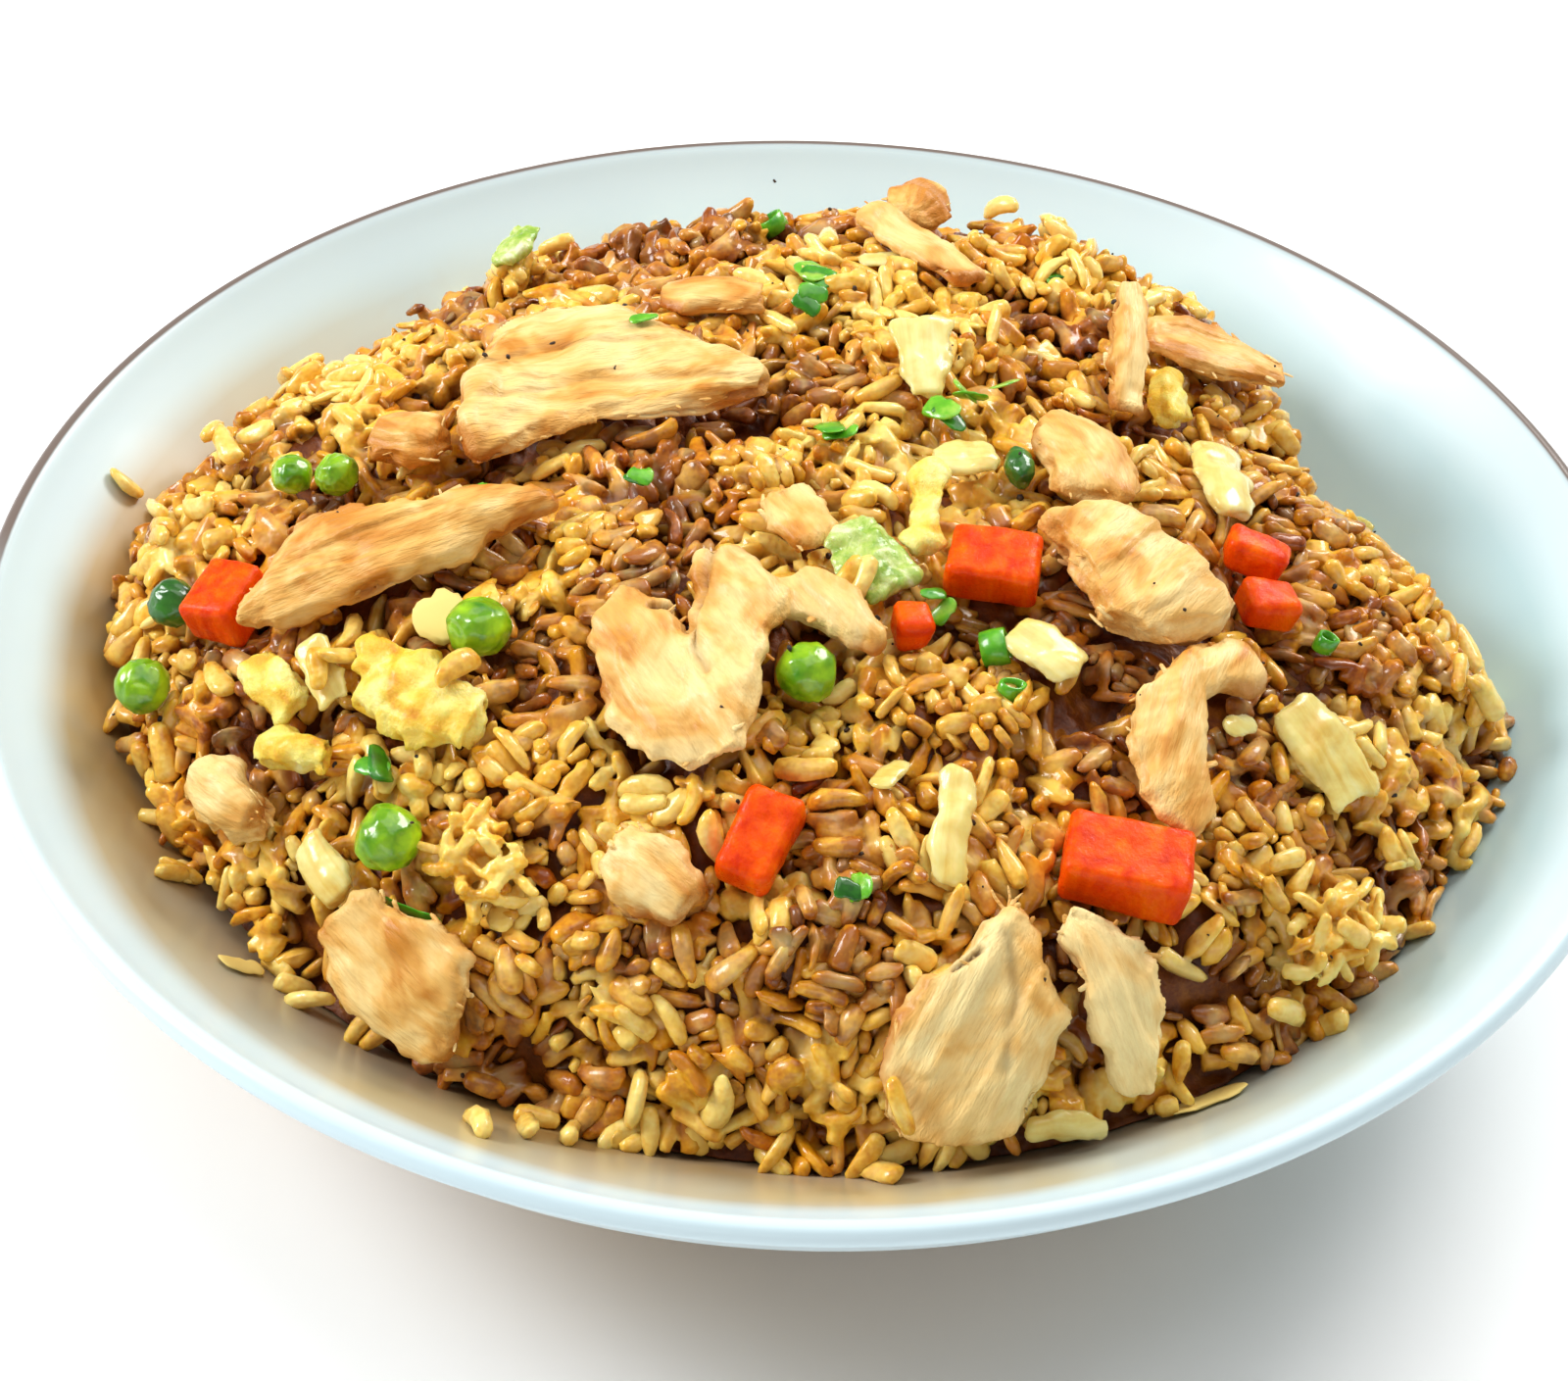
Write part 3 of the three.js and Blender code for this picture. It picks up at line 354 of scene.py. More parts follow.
class Paint:
    """A material whose nodes are laid in short calls.

    glow says how much light sinks in, how far by colour and on what scale, in metres; coat how strong and
    how rough the oily skin is. A colour is three numbers from 0 to 255, or comes from a node.
    """

    SOCKETS = ("Subsurface Weight", "Subsurface Radius", "Subsurface Scale", "Coat Weight",
               "Coat Roughness", "IOR", "Specular IOR Level", "Roughness")

    def __init__(self, name, glow=(0, (1, 0.2, 0.1), 0.05), coat=(0, 0.03), ior=1.5, shine=0.5, rough=0.5):
        self.material = bpy.data.materials.new(name)
        self.material.use_nodes = True
        self.tree = self.material.node_tree
        self.shader = self.tree.nodes["Principled BSDF"]
        for socket, value in zip(self.SOCKETS, (*glow, *coat, ior, shine, rough)):
            self.shader.inputs[socket].default_value = value

    def node(self, kind, **settings):
        made = self.tree.nodes.new(kind)
        for name, value in settings.items():
            setattr(made, name, value)
        return made

    def feed(self, socket, value):
        if isinstance(value, bpy.types.NodeSocket):
            self.tree.links.new(value, socket)
        else:
            socket.default_value = value

    def place(self):
        return self.node("ShaderNodeNewGeometry").outputs["Position"]

    def attribute(self, name, output="Fac"):
        return self.node("ShaderNodeAttribute", attribute_name=name).outputs[output]

    def noise(self, where, scale, detail=3, roughness=0.5, distortion=0.0):
        made = self.node("ShaderNodeTexNoise")
        self.feed(made.inputs["Vector"], where)
        for socket, value in (("Scale", scale), ("Detail", detail), ("Roughness", roughness),
                              ("Distortion", distortion)):
            made.inputs[socket].default_value = value
        return made.outputs["Fac"]

    def stretch(self, where, scale):
        made = self.node("ShaderNodeMapping")
        self.feed(made.inputs["Vector"], where)
        made.inputs["Scale"].default_value = scale
        return made.outputs["Vector"]

    def math(self, operation, first, second):
        made = self.node("ShaderNodeMath", operation=operation)
        self.feed(made.inputs[0], first)
        self.feed(made.inputs[1], second)
        return made.outputs[0]

    def times(self, first, second):
        return self.math("MULTIPLY", first, second)

    def plus(self, first, second):
        return self.math("ADD", first, second)

    def minus(self, first, second):
        return self.math("SUBTRACT", first, second)

    def span(self, value, low, high, to_low=0.0, to_high=1.0):
        made = self.node("ShaderNodeMapRange", clamp=True)
        self.feed(made.inputs["Value"], value)
        limits = {"From Min": low, "From Max": high, "To Min": to_low, "To Max": to_high}
        for socket, number in limits.items():
            made.inputs[socket].default_value = number
        return made.outputs["Result"]

    def ramp(self, value, stops):
        made = self.node("ShaderNodeValToRGB")
        self.feed(made.inputs["Fac"], value)
        elements = made.color_ramp.elements
        while len(elements) < len(stops):
            elements.new(0.5)
        for element, (at, shade) in zip(elements, stops):
            element.position = at
            element.color = srgb(shade)
        return made.outputs["Color"]

    def mix(self, share, first, second):
        made = self.node("ShaderNodeMix", data_type="RGBA")
        self.feed(made.inputs["Factor"], share)
        for socket, shade in zip(made.inputs[6:8], (first, second)):
            self.feed(socket, srgb(shade) if isinstance(shade, tuple) else shade)
        return made.outputs[2]

    def set(self, socket, value):
        self.feed(self.shader.inputs[socket], value)

    def bump(self, height, depth, strength=1.0):
        made = self.node("ShaderNodeBump")
        made.inputs["Strength"].default_value = strength
        made.inputs["Distance"].default_value = depth * MM
        self.feed(made.inputs["Height"], height)
        self.set("Normal", made.outputs["Normal"])


def glaze_paint():
    """White glaze: cool painted light on the right and the lip, warm painted shade on the near left wall,
    greasy by the rice.
    """
    paint = Paint("glazed_white", coat=(0.15, 0.12), ior=1.45, rough=0.36)
    where = paint.place()
    parts = paint.node("ShaderNodeSeparateXYZ")
    paint.feed(parts.inputs[0], where)
    nearness = paint.plus(paint.times(parts.outputs["X"], 0.65),
                          paint.times(parts.outputs["Y"], 0.75))
    lip = paint.attribute("lip")
    # Warm painted shade on the near left wall; the film and grease below are real, laid on most in this
    # shade
    warm = paint.times(paint.span(nearness, 0.055, -0.05), paint.minus(1.0, lip))
    body = paint.mix(warm, (206, 232, 238), (188, 174, 134))
    smear = paint.noise(paint.stretch(where, (60, 22, 60)), 1.0, 3, 0.6, 0.6)
    film = paint.times(paint.span(smear, 0.5, 0.72, 0, 0.5), warm)
    body = paint.mix(film, body, (190, 160, 88))
    grease = paint.times(paint.attribute("grease"), paint.plus(paint.times(warm, 0.5), 0.15))
    body = paint.mix(grease, body, (160, 118, 46))
    clouds = paint.noise(where, 45, 2)
    body = paint.mix(paint.span(clouds, 0.35, 0.7, 0, 0.3), body, (178, 204, 220))
    # Painted shade that darkens the cool right wall
    shaded = paint.times(paint.span(parts.outputs["X"], 0.02, 0.1, 0, 0.6), paint.minus(1.0, lip))
    body = paint.mix(shaded, body, (168, 206, 214))
    # The lip painted bluish white: a painted reflection along it
    body = paint.mix(paint.times(lip, 0.8), body, (210, 230, 237))
    # A thin grey-brown line of painted shade on the far half of the rim's crest
    body = paint.mix(paint.attribute("lip_line"), body, (112, 98, 90))
    paint.set("Base Color", body)
    paint.bump(paint.noise(where, 120, 1), 0.05, 0.3)
    return paint.material


# Colours of each kind of grain, from its palest tone to its darkest
GRAIN_RAMPS = {
    "pale": [(0.0, (250, 218, 118)), (0.35, (242, 192, 68)), (0.7, (226, 158, 22)), (1.0, (198, 120, 2))],
    "golden": [(0.0, (240, 186, 58)), (0.4, (222, 150, 16)), (0.75, (194, 110, 0)), (1.0, (150, 68, 0))],
    "browned": [(0.0, (216, 146, 20)), (0.4, (186, 104, 2)), (0.75, (148, 70, 0)), (1.0, (100, 40, 0))],
    "crumb": [(0.0, (242, 206, 98)), (0.4, (220, 158, 28)), (0.75, (180, 102, 2)), (1.0, (116, 48, 0))],
    "loose": [(0.0, (247, 217, 122)), (0.4, (234, 182, 60)), (0.75, (206, 134, 14)), (1.0, (160, 84, 0))],
}


# How far light sinks into each kind of grain, as a share; the others are too brown for it to show
RICE_GLOW = {"pale": 0.3, "loose": 0.3}


def grain_paint(kind):
    """Cooked rice: each grain has its own shade of soy, is darkened to brown deep down by painted shade,
    and has an oily skin.
    """
    glow = (RICE_GLOW.get(kind, 0.0), (1.0, 0.55, 0.18), 0.0012)
    paint = Paint(f"rice_{kind}", glow, (0.55, 0.12), 1.36, shine=0.4, rough=0.34)
    where = paint.place()
    mottle = paint.times(paint.minus(paint.noise(where, 300, 3, 0.72), 0.5), 1.9)
    tone = paint.plus(paint.attribute("tone"), mottle)
    body = paint.ramp(tone, GRAIN_RAMPS[kind])
    # A paler middle on each grain: partly its whiter core, partly painted light on its rounded body
    belly = paint.times(paint.attribute("belly"), 0.45)
    body = paint.mix(belly, body, (251, 230, 146))
    # Painted shade: grains that lie deep between the clumps are darkened to brown
    body = paint.mix(paint.times(paint.attribute("depth"), 0.85), body, (112, 48, 0))
    paint.set("Base Color", body)
    paint.bump(paint.noise(where, 640, 1, 0.65), 0.45, 0.7)
    return paint.material


def core_paint():
    # Browns darker than the grains: the soy of the rice, and painted shade for the gaps between them
    paint = Paint("rice_core", coat=(0.1, 0.25), shine=0.3, rough=0.5)
    where = paint.place()
    shade = paint.ramp(paint.noise(where, 260, 4, 0.65), [
        (0.3, (72, 26, 0)), (0.5, (112, 52, 0)), (0.7, (150, 84, 4)),
        (0.85, (190, 124, 20))])
    paint.set("Base Color", shade)
    paint.bump(paint.noise(where, 520, 3, 0.6), 0.5, 0.8)
    return paint.material


def chicken_paint():
    """Stir-fried chicken: cream meat with soft fibres, tanned in patches and seared at its edges, with
    painted shade in its slits.
    """
    paint = Paint("cooked_chicken", coat=(0.14, 0.22), ior=1.4, shine=0.35)
    local = paint.attribute("local", "Vector")
    fibres = paint.noise(paint.stretch(local, (0.12, 1.0, 1.0)), 0.9, 3, 0.6, 0.3)
    fine = paint.noise(paint.stretch(local, (0.22, 1.0, 1.0)), 2.6, 2, 0.65)
    patches = paint.noise(paint.stretch(local, (0.6, 1.0, 1.0)), 0.15, 3, 0.6, 0.5)
    # Tanned patches, and each piece's own offset, partly real tanning and partly painted light and shade
    tan = paint.plus(patches, paint.attribute("tan"))
    meat = paint.ramp(tan, [
        (0.3, (248, 222, 156)), (0.44, (243, 204, 130)), (0.54, (230, 176, 92)),
        (0.66, (202, 130, 42))])
    meat = paint.mix(paint.span(fine, 0.45, 0.75, 0, 0.2), meat, (206, 148, 76))
    meat = paint.mix(paint.span(fibres, 0.48, 0.28, 0, 0.3), meat, (198, 142, 72))
    seared = paint.plus(paint.attribute("edge"), paint.minus(patches, 0.5))
    meat = paint.mix(paint.span(seared, 0.38, 0.84, 0, 0.9), meat, (176, 96, 18))
    # Painted shade in the slits and folds
    meat = paint.mix(paint.attribute("dark"), meat, (84, 46, 10))
    paint.set("Base Color", meat)
    paint.set("Roughness", paint.span(fine, 0.3, 0.7, 0.36, 0.6))
    paint.bump(paint.plus(fibres, paint.times(fine, 0.35)), 0.6, 0.7)
    return paint.material


def egg_paint():
    """Scrambled egg: soft cream and yellow curds, deeper where the yolk wasn't mixed in."""
    paint = Paint("scrambled_egg", (0.4, (1.0, 0.7, 0.2), 0.0025), (0.25, 0.25), 1.4)
    local = paint.attribute("local", "Vector")
    patches = paint.noise(local, 0.2, 4, 0.55, 0.5)
    body = paint.ramp(patches, [
        (0.3, (250, 238, 158)), (0.46, (247, 224, 110)), (0.58, (242, 198, 58)),
        (0.72, (226, 148, 24))])
    paint.set("Base Color", body)
    paint.set("Roughness", paint.span(paint.noise(local, 1.6, 3), 0.3, 0.7, 0.3, 0.55))
    paint.bump(paint.noise(local, 1.0, 5, 0.65), 0.8, 0.7)
    return paint.material


def onion_paint():
    """Fried onion: pale, wet and see-through, with veins along each piece."""
    paint = Paint("fried_onion", (0.5, (1.0, 0.8, 0.4), 0.003), (0.4, 0.12), 1.35)
    local = paint.attribute("local", "Vector")
    veins = paint.noise(paint.stretch(local, (0.08, 1.0, 0.3)), 0.8, 3, 0.5, 0.4)
    tone = paint.plus(paint.times(veins, 0.35),
                      paint.times(paint.noise(local, 0.16, 4, 0.6, 0.4), 0.65))
    body = paint.ramp(tone, [
        (0.32, (240, 230, 168)), (0.48, (232, 214, 132)), (0.62, (220, 186, 92)),
        (0.8, (196, 138, 48))])
    paint.set("Base Color", body)
    paint.set("Roughness", paint.span(veins, 0.3, 0.7, 0.2, 0.4))
    paint.bump(veins, 0.14, 0.5)
    return paint.material


def cabbage_paint():
    paint = Paint("green_cabbage", (0.5, (0.7, 1.0, 0.3), 0.002), (0.5, 0.15), 1.4, rough=0.32)
    local = paint.attribute("local", "Vector")
    body = paint.ramp(paint.noise(local, 0.28, 5, 0.65, 0.6), [
        (0.32, (228, 232, 190)), (0.46, (188, 206, 110)), (0.6, (140, 178, 52)),
        (0.78, (92, 138, 30))])
    paint.set("Base Color", body)
    paint.bump(paint.noise(local, 0.9, 4, 0.6), 0.5, 0.7)
    return paint.material


def pea_paint(name, light, deep):
    paint = Paint(name, (0.3, (0.5, 1.0, 0.2), 0.0018), (0.55, 0.08), 1.45, rough=0.28)
    local = paint.attribute("local", "Vector")
    body = paint.ramp(paint.noise(local, 0.3, 3, 0.5, 0.3), [(0.3, light), (0.7, deep)])
    # Painted highlight along the folds where the flats meet
    body = paint.mix(paint.times(paint.attribute("crease"), 0.35), body, light)
    paint.set("Base Color", body)
    paint.bump(paint.noise(local, 1.0, 3), 0.22, 0.45)
    return paint.material


def carrot_paint():
    paint = Paint("diced_carrot", (0.3, (1.0, 0.25, 0.05), 0.002), (0.06, 0.12), 1.36, shine=0.22)
    local = paint.attribute("local", "Vector")
    rings = paint.noise(paint.stretch(local, (1.0, 1.0, 0.25)), 0.35, 4, 0.55, 0.4)
    body = paint.ramp(rings, [
        (0.3, (246, 108, 0)), (0.48, (234, 78, 0)), (0.66, (212, 50, 0)),
        (0.82, (180, 30, 0))])
    paint.set("Base Color", body)
    paint.set("Roughness", paint.span(paint.noise(local, 2.0, 3), 0.3, 0.7, 0.22, 0.42))
    paint.bump(paint.noise(local, 1.5, 4, 0.6), 0.3, 0.5)
    return paint.material


def leaf_paint():
    paint = Paint("green_onion", (0.3, (0.5, 1.0, 0.2), 0.001), (0.6, 0.12), 1.42, rough=0.3)
    where = paint.place()
    body = paint.ramp(paint.plus(paint.attribute("tone"),
                                 paint.minus(paint.noise(where, 500, 3), 0.5)), [
        (0.0, (26, 92, 12)), (0.4, (60, 146, 20)), (0.75, (108, 186, 34)),
        (1.0, (172, 212, 84))])
    paint.set("Base Color", body)
    paint.bump(paint.noise(where, 700, 2), 0.15, 0.5)
    return paint.material


def pepper_paint():
    paint = Paint("black_pepper", rough=0.6)
    paint.set("Base Color", paint.ramp(paint.noise(paint.place(), 1200, 2), [
        (0.35, (22, 15, 10)), (0.7, (70, 44, 24))]))
    return paint.material


def floor_paint():
    paint = Paint("studio_floor", shine=0.2, rough=0.7)
    shade = paint.mix(paint.noise(paint.place(), 3, 2), (254, 254, 254), (252, 252, 253))
    paint.set("Base Color", shade)
    return paint.material


# Camera, light and floor

def make_camera():
    pan, tilt, roll = (math.radians(angle) for angle in (CAMERA_PAN, CAMERA_TILT, CAMERA_ROLL))
    forward = Vector((math.sin(pan) * math.cos(tilt), math.cos(pan) * math.cos(tilt), -math.sin(tilt)))
    level = forward.cross(UP).normalized()
    upright = level.cross(forward)
    right = level * math.cos(roll) + upright * math.sin(roll)
    up = upright * math.cos(roll) - level * math.sin(roll)
    data = bpy.data.cameras.new("camera")
    data.lens = CAMERA_LENS
    data.sensor_width = CAMERA_SENSOR
    camera = link("camera", data)
    turn = Matrix((right, up, -forward)).transposed().to_4x4()
    camera.matrix_world = Matrix.Translation(CAMERA_PLACE) @ turn
    bpy.context.scene.camera = camera


def make_light(name, place, size, power, colour):
    data = bpy.data.lights.new(name, "AREA")
    data.shape = "RECTANGLE"
    data.size, data.size_y = size
    data.energy = power
    data.color = colour
    light = link(name, data)
    light.location = place
    light.rotation_mode = "QUATERNION"
    light.rotation_quaternion = (Vector((0, 0, 0.03)) - Vector(place)).to_track_quat("-Z", "Y")


def make_studio():
    make_light("window", (-0.7, 0.05, 0.55), (0.35, 0.35), 7, (0.98, 0.99, 1.0))
    make_light("ceiling", (0.1, 0.1, 0.95), (0.9, 0.7), 3.5, (1.0, 0.99, 0.97))
    make_light("back", (0.5, 0.6, 0.7), (0.45, 0.4), 8, (1.0, 0.99, 0.96))
    make_light("front", (0.1, -0.95, 0.22), (1.0, 0.3), 1.6, (0.98, 0.99, 1.0))
    world = bpy.data.worlds.new("studio")
    world.use_nodes = True
    background = world.node_tree.nodes["Background"]
    background.inputs["Color"].default_value = (1.0, 1.0, 1.0, 1)
    background.inputs["Strength"].default_value = 0.28
    bpy.context.scene.world = world
    corners = np.array([[-2500, -2500, 0], [2500, -2500, 0], [2500, 2500, 0], [-2500, 2500, 0]], float)
    floor = link("floor", mesh_of("floor", corners, np.array([[0, 1, 2, 3]])))
    floor.data.materials.append(floor_paint())
    bpy.context.scene.view_settings.view_transform = "Standard"


# Dish

def wall_height(radius):
    share = np.clip((np.asarray(radius, float) - FLOOR_RADIUS) / (WALL_TOP_RADIUS - FLOOR_RADIUS), 0, 1)
    return RIM_HEIGHT - WELL_DEPTH * (1 - share**WALL_CURVE)


def dish_profile():
    """Radius and height round the section, from the middle of the underside to the middle of the well."""
    outline = [
        (0, FOOT_RECESS), (20, FOOT_RECESS), (FOOT_INNER - 1.6, FOOT_RECESS), (FOOT_INNER - 0.9, 1.5),
        (FOOT_INNER - 0.3, 0.5), (FOOT_INNER + 0.5, 0.05), (FOOT_INNER + 1.5, 0), (FOOT_OUTER - 1.5, 0),
        (FOOT_OUTER - 0.5, 0.06), (FOOT_OUTER, 0.5), (FOOT_OUTER + 0.4, 1.2), (FOOT_OUTER + 1.4, 1.7)]
    for radius in np.linspace(50, 104, 20):
        slope = wall_height(radius + 0.5) - wall_height(radius - 0.5)
        outline.append((radius, wall_height(radius) - WALL_THICK * math.hypot(1, slope)))
    for angle in [-48, -30, -12, 6, 22, 34, 42, 48, 54, 60, 66, 72, 78, 84, 90]:
        turn = math.radians(angle)
        outline.append((RIM_RADIUS - LIP_RADIUS + LIP_RADIUS * math.cos(turn),
                        RIM_HEIGHT - LIP_RADIUS + LIP_RADIUS * math.sin(turn)))
    for radius in [108.1, 107.8, 107.4, 106.9, 106.2, *np.linspace(105, FLOOR_RADIUS, 30), 40, 30, 15, 0]:
        swell = (WALL_TOP_RADIUS - radius) / 0.9
        outline.append((radius, float(wall_height(radius)) + 0.45 * swell * math.exp(1 - swell)))
    return outline


def turned(name, outline, segments):
    """A closed lathe of an outline that begins and ends on the axis."""
    ring = np.array(outline[1:-1], float)
    turns = circle(segments)
    points = np.stack([np.outer(np.cos(turns), ring[:, 0]), np.outer(np.sin(turns), ring[:, 0]),
                       np.tile(ring[:, 1], (segments, 1))], axis=2).reshape(-1, 3)
    count = len(ring)
    points = np.vstack([points, [[0, 0, outline[0][1]], [0, 0, outline[-1][1]]]])
    rings = [np.arange(segments) * count + k for k in range(count)]
    faces = [band(ring, other)[:, ::-1] for ring, other in zip(rings[:-1], rings[1:])]
    faces.append(fan(len(points) - 2, rings[0])[:, ::-1])
    faces.append(fan(len(points) - 1, rings[-1]))
    return mesh_of(name, points, np.vstack(faces))


def rice_nearby(points, heap):
    """How much of the heap lies round each point in plan, as a count of places."""
    count = np.zeros(len(points))
    x, y = points[:, 0], points[:, 1]
    for angle in circle(16):
        for reach in (2, 5, 9, 14):
            count += heap.inside(x + reach * math.cos(angle), y + reach * math.sin(angle))
    return count


def make_dish(heap):
    mesh = turned("dish_glazed", dish_profile(), DISH_SEGMENTS)
    points = points_of(mesh)
    set_values(mesh, "grease", smoothstep(0, 26, rice_nearby(points, heap)))
    radius = np.hypot(points[:, 0], points[:, 1])
    # A thin line of painted shade on the crest of the rim, faded out on the near half
    line = smoothstep(107.7, 108.0, radius) * smoothstep(42.9, 43.3, points[:, 2])
    set_values(mesh, "lip_line", line * smoothstep(-30, 5, points[:, 1]))
    # Where the lip lies: kept clear of the painted shade, and given its painted reflection
    set_values(mesh, "lip", smoothstep(98, 105, radius))
    dish = link("dish_glazed", mesh)
    mesh.materials.append(glaze_paint())
    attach(dish, "root")
    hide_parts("dish")


# Toppings

def reskinned(piece, voxel, smoothing, most=None):
    """Gives a piece one closed skin of small soft faces, at most so many triangles of them."""
    remesh = piece.modifiers.new("remesh", "REMESH")
    remesh.mode = "VOXEL"
    remesh.voxel_size = voxel * MM
    soften = piece.modifiers.new("soften", "SMOOTH")
    soften.iterations = smoothing
    soften.factor = 0.5
    settle_modifiers(piece)
    if most and 2 * len(piece.data.polygons) > most:
        piece.modifiers.new("thin", "DECIMATE").ratio = most / (2 * len(piece.data.polygons))
        settle_modifiers(piece)
    mesh = piece.data
    mesh.materials.clear()
    mesh.polygons.foreach_set("use_smooth", np.ones(len(mesh.polygons), bool))


def settle_modifiers(piece):
    graph = bpy.context.evaluated_depsgraph_get()
    mesh = bpy.data.meshes.new_from_object(piece.evaluated_get(graph), depsgraph=graph)
    piece.modifiers.clear()
    piece.data = mesh
    mesh.name = piece.name


def fine_copy(name, node, voxel, smoothing):
    """A copy of a CAD node's mesh with its faces made small and soft."""
    piece = link(name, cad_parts[node].data.copy())
    reskinned(piece, voxel, smoothing)
    return piece


def local_frame(points):
    """The middle of a piece and its long, cross and thin directions."""
    middle = points.mean(0)
    axes = np.linalg.eigh(np.cov((points - middle).T))[1]
    return middle, axes[:, ::-1].T


def dress(node, voxel, smoothing, material, slot, shape, seed):
    """Replaces a topping's CAD node with its fine copy, after shape() has moved its points."""
    piece = fine_copy(f"{node}_cooked", node, voxel, smoothing)
    mesh = piece.data
    points = points_of(mesh)
    middle, axes = local_frame(points)
    if node in FIBRES_ACROSS:
        axes = axes[[1, 0, 2]]
    local = (points - middle) @ axes.T
    normals = normals_of(mesh)
    moved = shape(points, normals, local, axes, seed, mesh)
    if slot == "cooked_chicken":
        moved = slitted(moved, normals, node, mesh)
        set_values(mesh, "tan", np.full(len(points), TAN_AND_SHADE.get(node, 0.0)))
    set_points(mesh, moved)
    set_values(mesh, "local", local + seed * 13.7)
    mesh.materials.append(material)
    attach(piece, "root")
    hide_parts(node)
    return piece


def shape_chicken(points, normals, local, axes, seed, mesh):
    """Torn layers and soft folds on the flat sides, and a ragged outline."""
    flat = np.abs(normals @ axes[2])
    fibres = noise(local, (10, 1.5, 2.4), seed)
    layers = smoothstep(-0.08, 0.08, noise(local, (15, 4.2, 5), seed + 7)) - 0.5
    folds = layered(points, 9, seed + 2, 2) + 0.35 * noise(points, 2.6, seed + 5)
    torn = 1.3 * layered(points, 4.8, seed + 3, 3) + 0.5 * noise(points, 1.5, seed + 6)
    torn = torn - 1.3 * smoothstep(0.35, 0.6, noise(points, 4.0, seed + 11))
    push = (0.2 * fibres + 0.5 * layers) * flat + 0.7 * folds + torn * (1 - flat) - 0.1
    browned = 0.5 * layered(points, 9, seed + 8, 2)
    set_values(mesh, "edge", np.clip((1 - flat) * 0.5 + browned, 0, 1))
    return points + normals * push[:, None]


def from_path(points, path):
    """Distance in plan of each point from a path of straight stretches."""
    nearest = np.full(len(points), np.inf)
    for start, end in zip(path[:-1], path[1:]):
        start, way = np.array(start), np.subtract(end, start)
        along = np.clip((points[:, :2] - start) @ way / (way @ way), 0, 1)
        nearest = np.minimum(nearest, np.linalg.norm(points[:, :2] - start - along[:, None] * way, axis=1))
    return nearest


def slitted(points, normals, node, mesh):
    """Presses the slits and folds of a piece of chicken into its upper side, and paints shade into them."""
    dark = np.zeros(len(points))
    upper = smoothstep(0.2, 0.5, normals[:, 2])
    for path, width, depth, shade in SLITS.get(node, []):
        closeness = np.exp(-(from_path(points, path) / width) ** 2) * upper
        points = points - normals * (depth * closeness)[:, None]
        dark = np.maximum(dark, shade * closeness)
    set_values(mesh, "dark", dark)
    return points


def shape_egg(points, normals, local, axes, seed, mesh):
    """Curds: broad soft folds with creases between them, and a torn outline."""
    flat = np.abs(normals @ axes[2])
    folds = np.abs(noise(points, 6.5, seed)) + 0.3 * np.abs(noise(points, 3, seed + 9))
    torn = layered(points, 3.6, seed + 2, 3) * (1 - flat) ** 1.3
    push = 1.8 * folds + 0.4 * noise(points, 1.5, seed + 4) + 1.9 * torn - 0.9
    return points + normals * push[:, None]


def shape_onion(points, normals, local, axes, seed, mesh):
    flat = np.abs(normals @ axes[2])
    ribs = noise(local, (14, 1.6, 3), seed) * flat
    torn = layered(points, 2.4, seed + 6, 2) * (1 - flat)
    push = 0.07 * ribs + 0.5 * layered(points, 3.8, seed + 4, 2) + 0.9 * torn - 0.1
    return points + normals * push[:, None]


def shape_cabbage(points, normals, local, axes, seed, mesh):
    push = 0.55 * layered(points, 2.4, seed, 3)
    return points + normals * push[:, None]


def shape_pea(points, normals, local, axes, seed, mesh):
    """A shrunken skin: flats pressed into the ball, with folds where they meet and fine wrinkles, and a
    painted highlight on the folds.
    """
    random = np.random.default_rng(seed)
    way = normalised(local)
    radius = np.linalg.norm(local, axis=1)
    size = radius.mean()
    faces = normalised(random.normal(size=(PEA_FLATS, 3)))
    facing = way @ faces.T
    reach = size * random.uniform(0.89, 0.98, PEA_FLATS)
    limits = np.where(facing > 0.3, reach / np.maximum(facing, 0.3), 9)
    limits = np.sort(np.hstack([limits, radius[:, None] * 1.01]), axis=1)
    fold = 1 - smoothstep(0.0, 0.22, limits[:, 1] - limits[:, 0])
    set_values(mesh, "crease", fold * (limits[:, 0] < radius))
    wrinkle = np.abs(noise(way, (0.55, 0.3, 0.9), seed + 5))
    new = limits[:, 0] * 0.5 + radius * 0.5 - 0.16 * fold - 0.3 * wrinkle
    return points + way @ axes * (new - radius)[:, None]


def shape_carrot(points, normals, local, axes, seed, mesh):
    push = 0.14 * layered(points, 3.2, seed, 2) + 0.06 * noise(points, 0.9, seed + 6)
    return points + normals * push[:, None]


def make_toppings():
    chicken, egg, onion = chicken_paint(), egg_paint(), onion_paint()
    cabbage, carrot = cabbage_paint(), carrot_paint()
    pea = pea_paint("green_pea", (166, 210, 22), (66, 130, 0))
    dark_pea = pea_paint("dark_pea", (54, 120, 28), (22, 70, 18))
    recipes = {
        "chicken": (0.42, 3, chicken, "cooked_chicken", shape_chicken),
        "egg": (0.45, 3, egg, "scrambled_egg", shape_egg),
        "onion": (0.4, 9, onion, "onion", shape_onion),
        "cabbage": (0.35, 3, cabbage, "cabbage", shape_cabbage),
        "pea": (0.34, 6, pea, "pea", shape_pea),
        "carrot": (0.42, 3, carrot, "carrot", shape_carrot),
    }
    frayed = []
    for seed, node in enumerate(sorted(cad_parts)):
        kind = node.split("_")[0]
        if kind not in recipes or node in RICE_LUMPS:
            continue
        voxel, smoothing, material, slot, shape = recipes[kind]
        if node in ("pea_dark", "pea_crumpled"):
            material = dark_pea
        piece = dress(node, voxel, smoothing, material, slot, shape, seed + 1)
        if kind == "chicken":
            frayed.append(piece)
    make_shreds(frayed, chicken)


